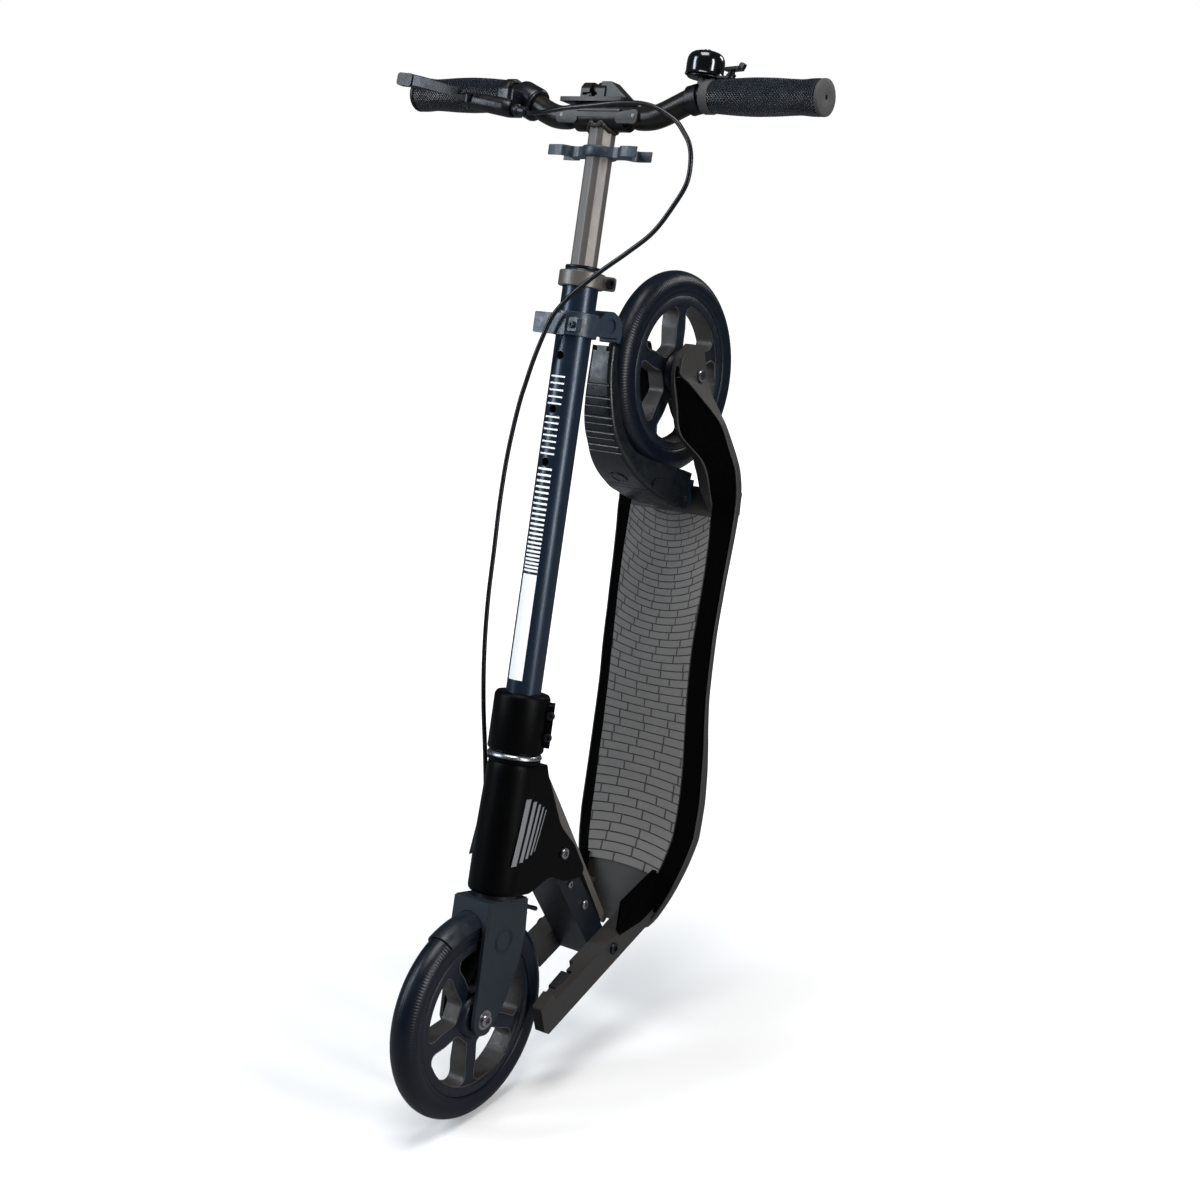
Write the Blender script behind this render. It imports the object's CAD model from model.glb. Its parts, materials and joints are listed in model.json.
"""Looks of the folding kick scooter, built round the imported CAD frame.

Shapes are worked out in the steering column's own frame in millimetres (x rider's left, y rearward,
z up the steering axis) and placed by one fixed matrix.
"""

import json
import math

import bpy
import numpy as np
from mathutils import Matrix, Vector


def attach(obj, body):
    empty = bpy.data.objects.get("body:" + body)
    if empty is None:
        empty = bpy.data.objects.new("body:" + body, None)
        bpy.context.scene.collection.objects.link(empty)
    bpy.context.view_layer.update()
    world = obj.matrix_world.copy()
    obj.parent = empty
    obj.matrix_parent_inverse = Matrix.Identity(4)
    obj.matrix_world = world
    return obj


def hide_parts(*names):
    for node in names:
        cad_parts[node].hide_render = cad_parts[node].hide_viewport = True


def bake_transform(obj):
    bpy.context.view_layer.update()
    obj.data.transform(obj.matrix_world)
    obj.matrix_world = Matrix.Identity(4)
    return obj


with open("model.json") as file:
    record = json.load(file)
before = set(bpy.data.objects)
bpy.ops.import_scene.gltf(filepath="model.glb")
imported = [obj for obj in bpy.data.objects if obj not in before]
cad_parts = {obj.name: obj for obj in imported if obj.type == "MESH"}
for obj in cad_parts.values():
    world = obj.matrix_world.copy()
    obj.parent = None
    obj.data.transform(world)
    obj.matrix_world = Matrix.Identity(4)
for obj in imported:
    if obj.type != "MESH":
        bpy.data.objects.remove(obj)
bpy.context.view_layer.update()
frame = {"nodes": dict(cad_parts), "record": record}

# ---------------------------------------------------------------- dimensions (mm)
LEAN = math.radians(14)
WHEEL_R, TYRE_HALF, TRAIL = 102.5, 14.5, 16.3
REAR_Y, REAR_Z = 168, 638
FRONT_PHASE, REAR_PHASE = 0.69, 0.12
FOLD_Y, FOLD_Z = 150, 54
COL_R, COL_BORE, COL_Z0, COL_Z1 = 17, 15.5, 262, 713.5
HOLE_PITCH = 50
HOLE_Z = [632, 632 - HOLE_PITCH, 632 - 2 * HOLE_PITCH]
BUTTON_Z, HOLE_R = 682, 4
STEM_R, STEM_Z0, BAR_Z = 12.6, 660, 855
BAR_R, CROSS_R, CROSS_BORE, BAR_PIVOT_X = 11, 12.9, 11.4, 41
GRIP_Z, GRIP_X0, GRIP_X1 = 875, 109, 233
LOCAL = Matrix.Translation((0, TRAIL * math.cos(LEAN) / 1000, (WHEEL_R - TRAIL * math.sin(LEAN)) / 1000)) @ Matrix.Rotation(-LEAN, 4, "X")
scene = bpy.context.scene

# ---------------------------------------------------------------- camera
RIGHT = (0.802438, 0.5967323, -0.0019574)
DOWN = (0.1611955, -0.2199188, -0.962108)
FWD = (-0.5745514, 0.7717165, -0.2726618)
EYE, LENS = (1.05699, -1.205806, 0.966659), 55.5858
cam_data = bpy.data.cameras.new("camera")
cam_data.lens, cam_data.sensor_width, cam_data.clip_end = LENS, 36.0, 60.0
cam = bpy.data.objects.new("camera", cam_data)
r, u, b = Vector(RIGHT), -Vector(DOWN), -Vector(FWD)
cam.matrix_world = Matrix(((r.x, u.x, b.x, EYE[0]), (r.y, u.y, b.y, EYE[1]), (r.z, u.z, b.z, EYE[2]), (0, 0, 0, 1)))
scene.collection.objects.link(cam)
scene.camera = cam


# ---------------------------------------------------------------- solids in mm: (points, faces)
def vol(s):
    v, f = s
    t = 0.0
    for p in f:
        a = v[p[0]]
        for i in range(1, len(p) - 1):
            t += float(np.dot(a, np.cross(v[p[i]], v[p[i + 1]])))
    return t


def outward(s):
    return s if vol(s) > 0 else (s[0], [list(reversed(p)) for p in s[1]])


def place(v, at, direction):
    q = Vector((0, 0, 1)).rotation_difference(Vector(direction).normalized())
    m = np.array(q.to_matrix())
    return v @ m.T + np.array(at, float)


def lathe(pts, at=(0, 0, 0), direction=(0, 0, 1), seg=96):
    """solid of revolution; pts are [radius, distance along direction]"""
    v, rings = [], []
    for rad, z in pts:
        if rad < 1e-6:
            rings.append([len(v)])
            v.append((0, 0, z))
        else:
            rings.append(list(range(len(v), len(v) + seg)))
            for i in range(seg):
                a = 2 * math.pi * i / seg
                v.append((rad * math.cos(a), rad * math.sin(a), z))
    f = []
    pairs = list(zip(rings, rings[1:]))
    if not (len(rings[0]) == 1 and len(rings[-1]) == 1):
        pairs.append((rings[-1], rings[0]))
    for p, q in pairs:
        for i in range(seg):
            j = (i + 1) % seg
            if len(p) == 1 and len(q) == 1:
                break
            if len(p) == 1:
                f.append([p[0], q[j], q[i]])
            elif len(q) == 1:
                f.append([p[i], p[j], q[0]])
            else:
                f.append([p[i], p[j], q[j], q[i]])
    return outward((place(np.array(v, float), at, direction), f))


def rod(a, b, r0, r1=None, seg=48):
    a, b = np.array(a, float), np.array(b, float)
    length = float(np.linalg.norm(b - a))
    return lathe([[0, 0], [r0, 0], [r0 if r1 is None else r1, length], [0, length]], a, b - a, seg)


def hexrod(a, b, rad):
    return rod(a, b, rad, rad, 6)


def rounded(pts, r=0, seg=6):
    """polygon with rounded corners; a point is [a, b] or [a, b, radius]"""
    out, n = [], len(pts)
    for i in range(n):
        p, q, s = pts[i], pts[i - 1], pts[(i + 1) % n]
        rr = p[2] if len(p) > 2 else r
        a, b = Vector((q[0] - p[0], q[1] - p[1])), Vector((s[0] - p[0], s[1] - p[1]))
        la, lb = a.length, b.length
        a.normalize()
        b.normalize()
        ang = math.acos(max(-1, min(1, a.dot(b))))
        if rr <= 0 or math.pi - ang < 0.02:
            out.append((p[0], p[1]))
            continue
        d = min(rr / math.tan(ang / 2), la * 0.48, lb * 0.48)
        re = d * math.tan(ang / 2)
        c = Vector((p[0], p[1])) + (a + b).normalized() * math.hypot(d, re)
        s0, s1 = Vector((p[0], p[1])) + a * d - c, Vector((p[0], p[1])) + b * d - c
        a0, da = math.atan2(s0.y, s0.x), math.atan2(s1.y, s1.x) - math.atan2(s0.y, s0.x)
        while da > math.pi:
            da -= 2 * math.pi
        while da < -math.pi:
            da += 2 * math.pi
        for k in range(seg + 1):
            out.append((c.x + re * math.cos(a0 + da * k / seg), c.y + re * math.sin(a0 + da * k / seg)))
    return out


def ext(axis, pts, lo, hi):
    """prism of the polygon pts: along x the polygon is (y, z), along y (x, z), along z (x, y)"""
    put = {"x": lambda a, b, c: (c, a, b), "y": lambda a, b, c: (a, c, b), "z": lambda a, b, c: (a, b, c)}[axis]
    n = len(pts)
    v = [put(p[0], p[1], lo) for p in pts] + [put(p[0], p[1], hi) for p in pts]
    f = [list(range(n)), [2 * n - 1 - i for i in range(n)]]
    f += [[(i + 1) % n, i, i + n, (i + 1) % n + n] for i in range(n)]
    return outward((np.array(v, float), f))


def box(x0, x1, y0, y1, z0, z1):
    return ext("z", [(x0, y0), (x1, y0), (x1, y1), (x0, y1)], z0, z1)


def rbox(x0, x1, y0, y1, z0, z1, r=1.0, axis="z"):
    rect = {"z": [(x0, y0), (x1, y0), (x1, y1), (x0, y1)], "x": [(y0, z0), (y1, z0), (y1, z1), (y0, z1)], "y": [(x0, z0), (x1, z0), (x1, z1), (x0, z1)]}[axis]
    lim = {"z": (z0, z1), "x": (x0, x1), "y": (y0, y1)}[axis]
    return ext(axis, rounded(rect, r, 5), *lim)


def catmull(path, n):
    """points evenly spaced in length along a smooth curve through path"""
    p = np.array(path, float)
    p = np.vstack([2 * p[0] - p[1], p, 2 * p[-1] - p[-2]])
    out = []
    for i in range(1, len(p) - 2):
        a, b, c, d = p[i - 1], p[i], p[i + 1], p[i + 2]
        t0, t1 = 0.0, np.linalg.norm(b - a) ** 0.5
        t2 = t1 + np.linalg.norm(c - b) ** 0.5
        t3 = t2 + np.linalg.norm(d - c) ** 0.5
        for t in np.linspace(t1, t2, 24, endpoint=False):
            a1 = (t1 - t) / (t1 - t0) * a + (t - t0) / (t1 - t0) * b
            a2 = (t2 - t) / (t2 - t1) * b + (t - t1) / (t2 - t1) * c
            a3 = (t3 - t) / (t3 - t2) * c + (t - t2) / (t3 - t2) * d
            b1 = (t2 - t) / (t2 - t0) * a1 + (t - t0) / (t2 - t0) * a2
            b2 = (t3 - t) / (t3 - t1) * a2 + (t - t1) / (t3 - t1) * a3
            out.append((t2 - t) / (t2 - t1) * b1 + (t - t1) / (t2 - t1) * b2)
    out.append(p[-2])
    out = np.array(out)
    s = np.concatenate([[0], np.cumsum(np.linalg.norm(np.diff(out, axis=0), axis=1))])
    q = np.linspace(0, s[-1], n)
    return np.stack([np.interp(q, s, out[:, k]) for k in range(3)], 1)


def tube(pts, rad, n=24, closed=False, up=(0.31, 0.2, 0.93)):
    """round tube along points; rad is a number or one per point"""
    p = np.array(pts, float)
    m = len(p)
    rad = np.full(m, rad, float) if np.isscalar(rad) else np.array(rad, float)
    t = np.roll(p, -1, 0) - np.roll(p, 1, 0)
    if not closed:
        t[0], t[-1] = p[1] - p[0], p[-1] - p[-2]
    t /= np.linalg.norm(t, axis=1)[:, None]
    nrm = np.array(up, float)
    nrm -= nrm.dot(t[0]) * t[0]
    nrm /= np.linalg.norm(nrm)
    v = []
    for i in range(m):
        if closed:
            nrm = np.array(up, float)
        nrm = nrm - nrm.dot(t[i]) * t[i]
        nrm /= np.linalg.norm(nrm)
        bn = np.cross(t[i], nrm)
        for k in range(n):
            a = 2 * math.pi * k / n
            v.append(p[i] + rad[i] * (math.cos(a) * nrm + math.sin(a) * bn))
    f = []
    for i in range(m if closed else m - 1):
        a, b = i * n, ((i + 1) % m) * n
        f += [[a + k, a + (k + 1) % n, b + (k + 1) % n, b + k] for k in range(n)]
    if not closed:
        f += [list(range(n - 1, -1, -1)), [(m - 1) * n + k for k in range(n)]]
    return outward((np.array(v), f))


def loft(rings, caps=True):
    n = len(rings[0])
    v = [p for ring in rings for p in ring]
    f = []
    for i in range(len(rings) - 1):
        a = i * n
        f += [[a + k, a + (k + 1) % n, a + n + (k + 1) % n, a + n + k] for k in range(n)]
    if caps:
        f += [list(range(n - 1, -1, -1)), [(len(rings) - 1) * n + k for k in range(n)]]
    return outward((np.array(v, float), f))


def cat(*solids):
    v, f, o = [], [], 0
    for s in solids:
        v.append(s[0])
        f += [[i + o for i in p] for p in s[1]]
        o += len(s[0])
    return np.vstack(v), f


def mirror(s):
    return outward((s[0] * np.array([-1.0, 1, 1]), s[1]))


def turned(s, angle):
    c, k = math.cos(angle), math.sin(angle)
    return s[0] @ np.array([[c, -k, 0], [k, c, 0], [0, 0, 1]]).T, s[1]


def circle(cx, cy, r, n=48, a0=0.0):
    return [(cx + r * math.cos(a0 + 2 * math.pi * i / n), cy + r * math.sin(a0 + 2 * math.pi * i / n)) for i in range(n)]


def lerp(tab, x):
    return float(np.interp(x, [p[0] for p in tab], [p[1] for p in tab]))


def smooth(tab, x):
    """smooth curve through a table, without overshoot"""
    xs, ys = np.array([p[0] for p in tab], float), np.array([p[1] for p in tab], float)
    if x <= xs[0]:
        return float(ys[0])
    if x >= xs[-1]:
        return float(ys[-1])
    d = np.diff(ys) / np.diff(xs)
    m = np.zeros(len(xs))
    m[0], m[-1] = d[0], d[-1]
    for i in range(1, len(xs) - 1):
        if d[i - 1] * d[i] > 0:
            w1, w2 = 2 * (xs[i + 1] - xs[i]) + (xs[i] - xs[i - 1]), (xs[i + 1] - xs[i]) + 2 * (xs[i] - xs[i - 1])
            m[i] = (w1 + w2) / (w1 / d[i - 1] + w2 / d[i])
    i = int(np.searchsorted(xs, x)) - 1
    h = xs[i + 1] - xs[i]
    t = (x - xs[i]) / h
    return float(ys[i] * (1 + 2 * t) * (1 - t) ** 2 + h * m[i] * t * (1 - t) ** 2 + ys[i + 1] * t * t * (3 - 2 * t) + h * m[i + 1] * t * t * (t - 1))


def raw_mesh(s, scale=1.0):
    me = bpy.data.meshes.new("m")
    me.from_pydata([tuple(p) for p in s[0] * scale], [], s[1])
    me.validate()
    return me


def csg(base, *ops):
    """base joined to ('+'), cut by ('-') or cut down to ('&') each solid in turn"""
    made = []

    def tmp(s):
        o = bpy.data.objects.new("tmp", raw_mesh(s))
        scene.collection.objects.link(o)
        made.append(o)
        return o

    o = tmp(base)
    for kind, s in ops:
        k = o.modifiers.new("b", "BOOLEAN")
        k.operation = {"+": "UNION", "-": "DIFFERENCE", "&": "INTERSECT"}[kind]
        k.solver = "MANIFOLD"
        k.object = tmp(s)
    dg = bpy.context.evaluated_depsgraph_get()
    me = bpy.data.meshes.new_from_object(o.evaluated_get(dg))
    v = np.zeros(len(me.vertices) * 3)
    me.vertices.foreach_get("co", v)
    out = v.reshape(-1, 3), [list(p.vertices) for p in me.polygons]
    for k in made:
        old = k.data
        bpy.data.objects.remove(k)
        bpy.data.meshes.remove(old)
    bpy.data.meshes.remove(me)
    if not len(out[1]):
        raise RuntimeError("a cut left nothing")
    return out


def piece(name, s, material, body, nodes=(), bevel=0.0, angle=35, seg=2, by_face=None):
    """a shown piece from a solid in mm; by_face picks the material of each face from its normal and middle"""
    me = raw_mesh(s, 0.001)
    me.name = name
    mats = material if isinstance(material, (list, tuple)) else [material]
    for m in mats:
        me.materials.append(m)
    if by_face:
        for p in me.polygons:
            p.material_index = by_face(p.normal, p.center * 1000)
    o = bpy.data.objects.new(name, me)
    scene.collection.objects.link(o)
    o.matrix_world = LOCAL
    me.shade_smooth()
    me.set_sharp_from_angle(angle=math.radians(angle))
    if bevel:
        k = o.modifiers.new("edge", "BEVEL")
        k.width, k.segments, k.limit_method, k.angle_limit = bevel / 1000, seg, "ANGLE", math.radians(angle)
        k.harden_normals, k.use_clamp_overlap = True, True
        dg = bpy.context.evaluated_depsgraph_get()
        new = bpy.data.meshes.new_from_object(o.evaluated_get(dg))
        o.modifiers.clear()
        old = o.data
        o.data = new
        bpy.data.meshes.remove(old)
        new.name = name
    # the finished mesh is turned into the row frame, so its own box is the true one
    o.data.transform(LOCAL)
    o.matrix_world = Matrix.Identity(4)
    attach(o, body)
    if nodes:
        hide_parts(*([nodes] if isinstance(nodes, str) else nodes))
    return o


# ---------------------------------------------------------------- materials
class Mat:
    """a small node graph: colour and roughness varied by noise, and a bump"""

    def __init__(self, name, colour, rough, metal=0.0, coat=0.0, spec=0.5, vary=0.12, scale=60.0, rvary=0.08):
        self.m = bpy.data.materials.new(name)
        self.m.use_nodes = True
        self.t = self.m.node_tree
        self.b = next(n for n in self.t.nodes if n.type == "BSDF_PRINCIPLED")
        self.b.inputs["Metallic"].default_value = metal
        self.b.inputs["Coat Weight"].default_value = coat
        self.b.inputs["Coat Roughness"].default_value = 0.12
        self.b.inputs["Specular IOR Level"].default_value = spec
        self.raw = self.node("ShaderNodeTexCoord").outputs["Object"]
        turn = self.node("ShaderNodeMapping", vector_type="TEXTURE")
        turn.inputs["Location"].default_value = LOCAL.to_translation()
        turn.inputs["Rotation"].default_value = LOCAL.to_euler()
        self.link(self.raw, turn.inputs["Vector"])
        self.co = turn.outputs["Vector"]
        n = self.noise(scale, 3)
        dark, light = [c * (1 - vary) for c in colour], [c * (1 + vary) for c in colour]
        self.colour = self.mix(n, dark, light)
        self.link(self.colour, self.b.inputs["Base Color"])
        self.rough = self.ramp(self.noise(scale * 2.3, 2), rough - rvary, rough + rvary)
        self.link(self.rough, self.b.inputs["Roughness"])

    def node(self, kind, **k):
        n = self.t.nodes.new(kind)
        for a, b in k.items():
            setattr(n, a, b)
        return n

    def link(self, a, b):
        self.t.links.new(a, b)

    def noise(self, scale, detail=2.0, co=None, rough=0.5):
        n = self.node("ShaderNodeTexNoise")
        n.inputs["Scale"].default_value, n.inputs["Detail"].default_value, n.inputs["Roughness"].default_value = scale, detail, rough
        self.link(co or self.co, n.inputs["Vector"])
        return n.outputs["Fac"]

    def mix(self, fac, a, b):
        n = self.node("ShaderNodeMix", data_type="RGBA")
        for i, x in ((6, a), (7, b)):
            if isinstance(x, (list, tuple)):
                n.inputs[i].default_value = (*x[:3], 1)
            else:
                self.link(x, n.inputs[i])
        self.link(fac, n.inputs[0])
        return n.outputs[2]

    def ramp(self, x, lo, hi, a=0.3, b=0.7):
        n = self.node("ShaderNodeMapRange")
        for i, v in ((1, a), (2, b), (3, lo), (4, hi)):
            n.inputs[i].default_value = v
        self.link(x, n.inputs[0])
        return n.outputs[0]

    def math(self, op, a, b=None, c=None):
        n = self.node("ShaderNodeMath", operation=op)
        for i, x in enumerate((a, b, c)):
            if x is None:
                continue
            if isinstance(x, (int, float)):
                n.inputs[i].default_value = x
            else:
                self.link(x, n.inputs[i])
        return n.outputs[0]

    def xyz(self, co=None):
        n = self.node("ShaderNodeSeparateXYZ")
        self.link(co or self.co, n.inputs[0])
        return n.outputs

    def bump(self, h, distance, strength=1.0):
        n = self.node("ShaderNodeBump")
        n.inputs["Strength"].default_value, n.inputs["Distance"].default_value = strength, distance
        self.link(h, n.inputs["Height"])
        old = self.b.inputs["Normal"].links
        if old:
            self.link(old[0].from_socket, n.inputs["Normal"])
        self.link(n.outputs[0], self.b.inputs["Normal"])
        return self

    def grain(self, scale, distance, detail=2.0):
        return self.bump(self.noise(scale, detail, rough=0.6), distance)

    def wear(self, colour, amount=0.5):
        """brighter, rubbed paint on raised edges, where the surface is pointed"""
        g = self.node("ShaderNodeNewGeometry").outputs["Pointiness"]
        edge = self.ramp(g, 0.0, amount, 0.53, 0.62)
        broken = self.math("MULTIPLY", edge, self.ramp(self.noise(180, 4), 0.0, 1.0, 0.42, 0.62))
        self.colour = self.mix(broken, self.colour, colour)
        self.link(self.colour, self.b.inputs["Base Color"])
        return self


def paint(name, colour, rough, metal, spec=0.5, coat=0.0, fleck=2600, depth=0.00003):
    m = Mat(name, colour, rough, metal, coat, spec, vary=0.05, scale=45, rvary=0.025)
    return m.grain(fleck, depth)


def around(m, cy, cz):
    """angle and radius about the x axis through (cy, cz), in the piece's own frame, metres"""
    x, y, z = m.xyz()
    dy, dz = m.math("SUBTRACT", y, cy / 1000), m.math("SUBTRACT", z, cz / 1000)
    rad = m.math("SQRT", m.math("ADD", m.math("MULTIPLY", dy, dy), m.math("MULTIPLY", dz, dz)))
    return m.math("ARCTAN2", dz, dy), rad, x


def tyre_material(name, cy, cz):
    m = Mat(name, TYRE_COL, 0.36, 0.0, 0.0, 0.28, vary=0.12, scale=38, rvary=0.03)
    a, rad, x = around(m, cy, cz)
    ribs = m.math("SINE", m.math("MULTIPLY", a, 210.0))
    ax = m.math("ABSOLUTE", x)
    band = m.math("MULTIPLY", m.ramp(rad, 0, 1, 0.0925, 0.0935), m.ramp(rad, 1, 0, 0.0985, 0.0995))
    m.bump(m.math("MULTIPLY", ribs, band), 0.00006)
    # fine turned line at the foot of the tread and a faint moulding seam on the middle
    seam = m.ramp(ax, 1, 0, 0.0, 0.0004)
    m.bump(seam, 0.00008)
    m.grain(900, 0.000008)
    return m.m


def grip_material(name):
    m = Mat(name, GRIP_COL, 0.33, 0.0, 0.0, 0.75, vary=0.2, scale=70)
    x, y, z = m.xyz()
    a = m.math("MULTIPLY", m.math("ARCTAN2", m.math("SUBTRACT", z, GRIP_Z / 1000), y), 15.0)
    s = m.math("MULTIPLY", x, 1050.0)
    p = m.math("ABSOLUTE", m.math("SINE", m.math("ADD", a, s)))
    q = m.math("ABSOLUTE", m.math("SINE", m.math("SUBTRACT", a, s)))
    lump = m.math("MINIMUM", p, q)
    m.bump(lump, 0.0034)
    m.colour = m.mix(lump, [c * 0.45 for c in GRIP_COL], m.colour)
    m.link(m.colour, m.b.inputs["Base Color"])
    return m.m


def tread_material():
    m = Mat("tread_bricks", TREAD_COL, 0.72, 0.0, 0.0, 0.4, vary=0.06, scale=30)
    x, y, z = m.xyz()
    t = m.math("MULTIPLY", m.math("SUBTRACT", z, 0.124), 1000.0)
    ax = m.math("MULTIPLY", x, 1 / 0.051)
    # rows cup towards the rear axle, run flat half way and arch the other way at the fold
    n = m.node("ShaderNodeFloatCurve")
    c = n.mapping.curves[0]
    pts = [(0.0, 0.13), (0.2, 0.2), (0.4, 0.3), (0.55, 0.42), (0.7, 0.58), (0.85, 0.74), (1.0, 0.86)]
    c.points[0].location, c.points[1].location = pts[0], pts[-1]
    for p in pts[1:-1]:
        c.points.new(*p)
    n.mapping.update()
    m.link(m.math("DIVIDE", t, 375.0), n.inputs["Value"])
    lift = m.math("MULTIPLY", m.math("SUBTRACT", n.outputs[0], 0.3), 38.0)
    w = m.math("SUBTRACT", t, m.math("MULTIPLY", lift, m.math("MULTIPLY", ax, ax)))
    row = m.math("ADD", m.math("MULTIPLY", w, 0.095), m.math("MULTIPLY", m.math("MULTIPLY", w, w), 0.00007))
    idx = m.math("FLOOR", row)
    fr = m.math("SUBTRACT", row, idx)
    wn = m.node("ShaderNodeTexWhiteNoise", noise_dimensions="1D")
    m.link(m.math("ADD", idx, 3.7), wn.inputs["W"])
    length = m.math("SUBTRACT", 40.0, m.math("MULTIPLY", idx, 0.58))
    along = m.math("ADD", m.math("DIVIDE", m.math("MULTIPLY", x, 1000.0), length), m.math("MULTIPLY", wn.outputs["Value"], 7.0))
    cut = m.math("SUBTRACT", along, m.math("FLOOR", along))

    def edge(v, wide):
        d = m.math("MINIMUM", v, m.math("SUBTRACT", 1.0, v))
        return m.ramp(d, 0.0, 1.0, 0.0, wide)

    brick = m.math("MINIMUM", edge(fr, 0.075), edge(cut, 0.028))
    m.bump(brick, 0.0030)
    m.colour = m.mix(brick, [c * 0.26 for c in TREAD_COL], m.colour)
    m.link(m.colour, m.b.inputs["Base Color"])
    m.grain(1100, 0.00022)
    return m.m


COL_NAVY = (0.010, 0.020, 0.037)
FORK_NAVY = (0.011, 0.018, 0.025)
TYRE_COL = (0.0020, 0.0042, 0.0092)
RIM_FACE = (0.0034, 0.0068, 0.0125)
RIM_WALL = (0.046, 0.040, 0.036)
GRIP_COL = (0.0150, 0.0240, 0.0390)
TREAD_COL = (0.140, 0.130, 0.121)
DECK_COL = (0.034, 0.031, 0.029)
TAUPE = (0.125, 0.112, 0.102)
BAR_TAUPE = (0.014, 0.0120, 0.0104)

navy = paint("paint_blue_black", COL_NAVY, 0.30, 0.4, 0.55).m
fork_paint = paint("paint_slate_blue", FORK_NAVY, 0.5, 0.25, 0.5, fleck=1800, depth=0.00006).m
block_paint = paint("paint_slate_dark", (0.0035, 0.0060, 0.0095), 0.45, 0.2, 0.4, fleck=1800, depth=0.00004).m
black_paint = paint("paint_satin_black", (0.0005, 0.0005, 0.0006), 0.42, 0.0, 0.07, fleck=2200, depth=0.00003).m
deck_paint = paint("paint_warm_grey", DECK_COL, 0.56, 0.2, 0.4, fleck=1300, depth=0.00008).m
rail_paint = deck_paint
taupe_paint = paint("paint_taupe", TAUPE, 0.4, 0.4, 0.5, fleck=2000, depth=0.00004).m
bar_paint = paint("paint_taupe_dark", BAR_TAUPE, 0.30, 0.3, 0.25, fleck=2000, depth=0.00004).m
strip = Mat("strip_matt_black", (0.0005, 0.0005, 0.0005), 0.85, 0.0, 0.0, 0.03, vary=0.3, scale=90).grain(1400, 0.00008).m
moulded = Mat("moulded_blue_black", (0.0055, 0.0090, 0.0140), 0.38, 0.0, 0.0, 0.45, vary=0.15, scale=50).grain(1100, 0.00005).m
clip_plastic = Mat("moulded_slate", (0.020, 0.032, 0.048), 0.4, 0.0, 0.0, 0.5, vary=0.15, scale=60).grain(1100, 0.00005).m
fender_plastic = Mat("moulded_fender", (0.0024, 0.0042, 0.0060), 0.34, 0.0, 0.0, 0.42, vary=0.15, scale=50).grain(900, 0.00007).m
moulded_black = Mat("moulded_black", (0.0018, 0.0022, 0.0028), 0.4, 0.0, 0.0, 0.3, vary=0.2, scale=60).grain(1200, 0.00006).m
lever_black = Mat("moulded_lever_black", (0.0016, 0.0024, 0.0042), 0.33, 0.0, 0.0, 0.35, vary=0.2, scale=60).grain(1200, 0.00006).m
gloss = Mat("lacquer_black", (0.0012, 0.0013, 0.0017), 0.16, 0.0, 0.6, 0.4, vary=0.1, scale=30, rvary=0.03).m
sheath = Mat("cable_sheath", (0.0020, 0.0023, 0.0030), 0.3, 0.0, 0.0, 0.35, vary=0.04, scale=30, rvary=0.01).grain(900, 0.000004).m
cap_rubber = Mat("cap_rubber_grey", (0.062, 0.058, 0.056), 0.72, 0.0, 0.0, 0.35, vary=0.08, scale=80).grain(1600, 0.00006).m
chrome = Mat("plated_steel", (0.34, 0.34, 0.36), 0.26, 1.0, 0.0, 0.5, vary=0.1, scale=300, rvary=0.07).grain(2500, 0.00002).m
dark_bolt = Mat("blackened_steel", (0.030, 0.032, 0.038), 0.35, 0.9, 0.0, 0.5, vary=0.2, scale=300).grain(2500, 0.00002).m
steel = Mat("ground_steel", (0.34, 0.34, 0.36), 0.32, 1.0, 0.0, 0.5, vary=0.08, scale=220).grain(1500, 0.00002).m
rim_face = Mat("wheel_face", RIM_FACE, 0.40, 0.0, 0.0, 0.35, vary=0.15, scale=60).grain(900, 0.00005).m
rim_wall = Mat("wheel_window_wall", RIM_WALL, 0.5, 0.0, 0.0, 0.45, vary=0.12, scale=60).grain(900, 0.00006).m
rim_bead = Mat("wheel_bead", (0.060, 0.062, 0.068), 0.4, 0.1, 0.0, 0.5, vary=0.1, scale=90).grain(900, 0.00003).m
white = Mat("print_white", (1.0, 0.99, 0.97), 0.5, 0.0, 0.0, 0.4, vary=0.02, scale=80).grain(1500, 0.00001).m
print_grey = Mat("print_grey", (0.20, 0.20, 0.205), 0.5, 0.0, 0.0, 0.4, vary=0.04, scale=80).grain(1500, 0.00001).m
stop_rubber = Mat("rubber_stop", (0.006, 0.008, 0.011), 0.7, 0.0, 0.0, 0.4, vary=0.2, scale=90).grain(1200, 0.0001).m
tread = tread_material()
grip = grip_material("grip_knurl")
weld_paint = Mat("weld_bead_paint", (0.030, 0.027, 0.025), 0.5, 0.4, 0.0, 0.5, vary=0.4, scale=260).grain(420, 0.0004, 3).m

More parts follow.
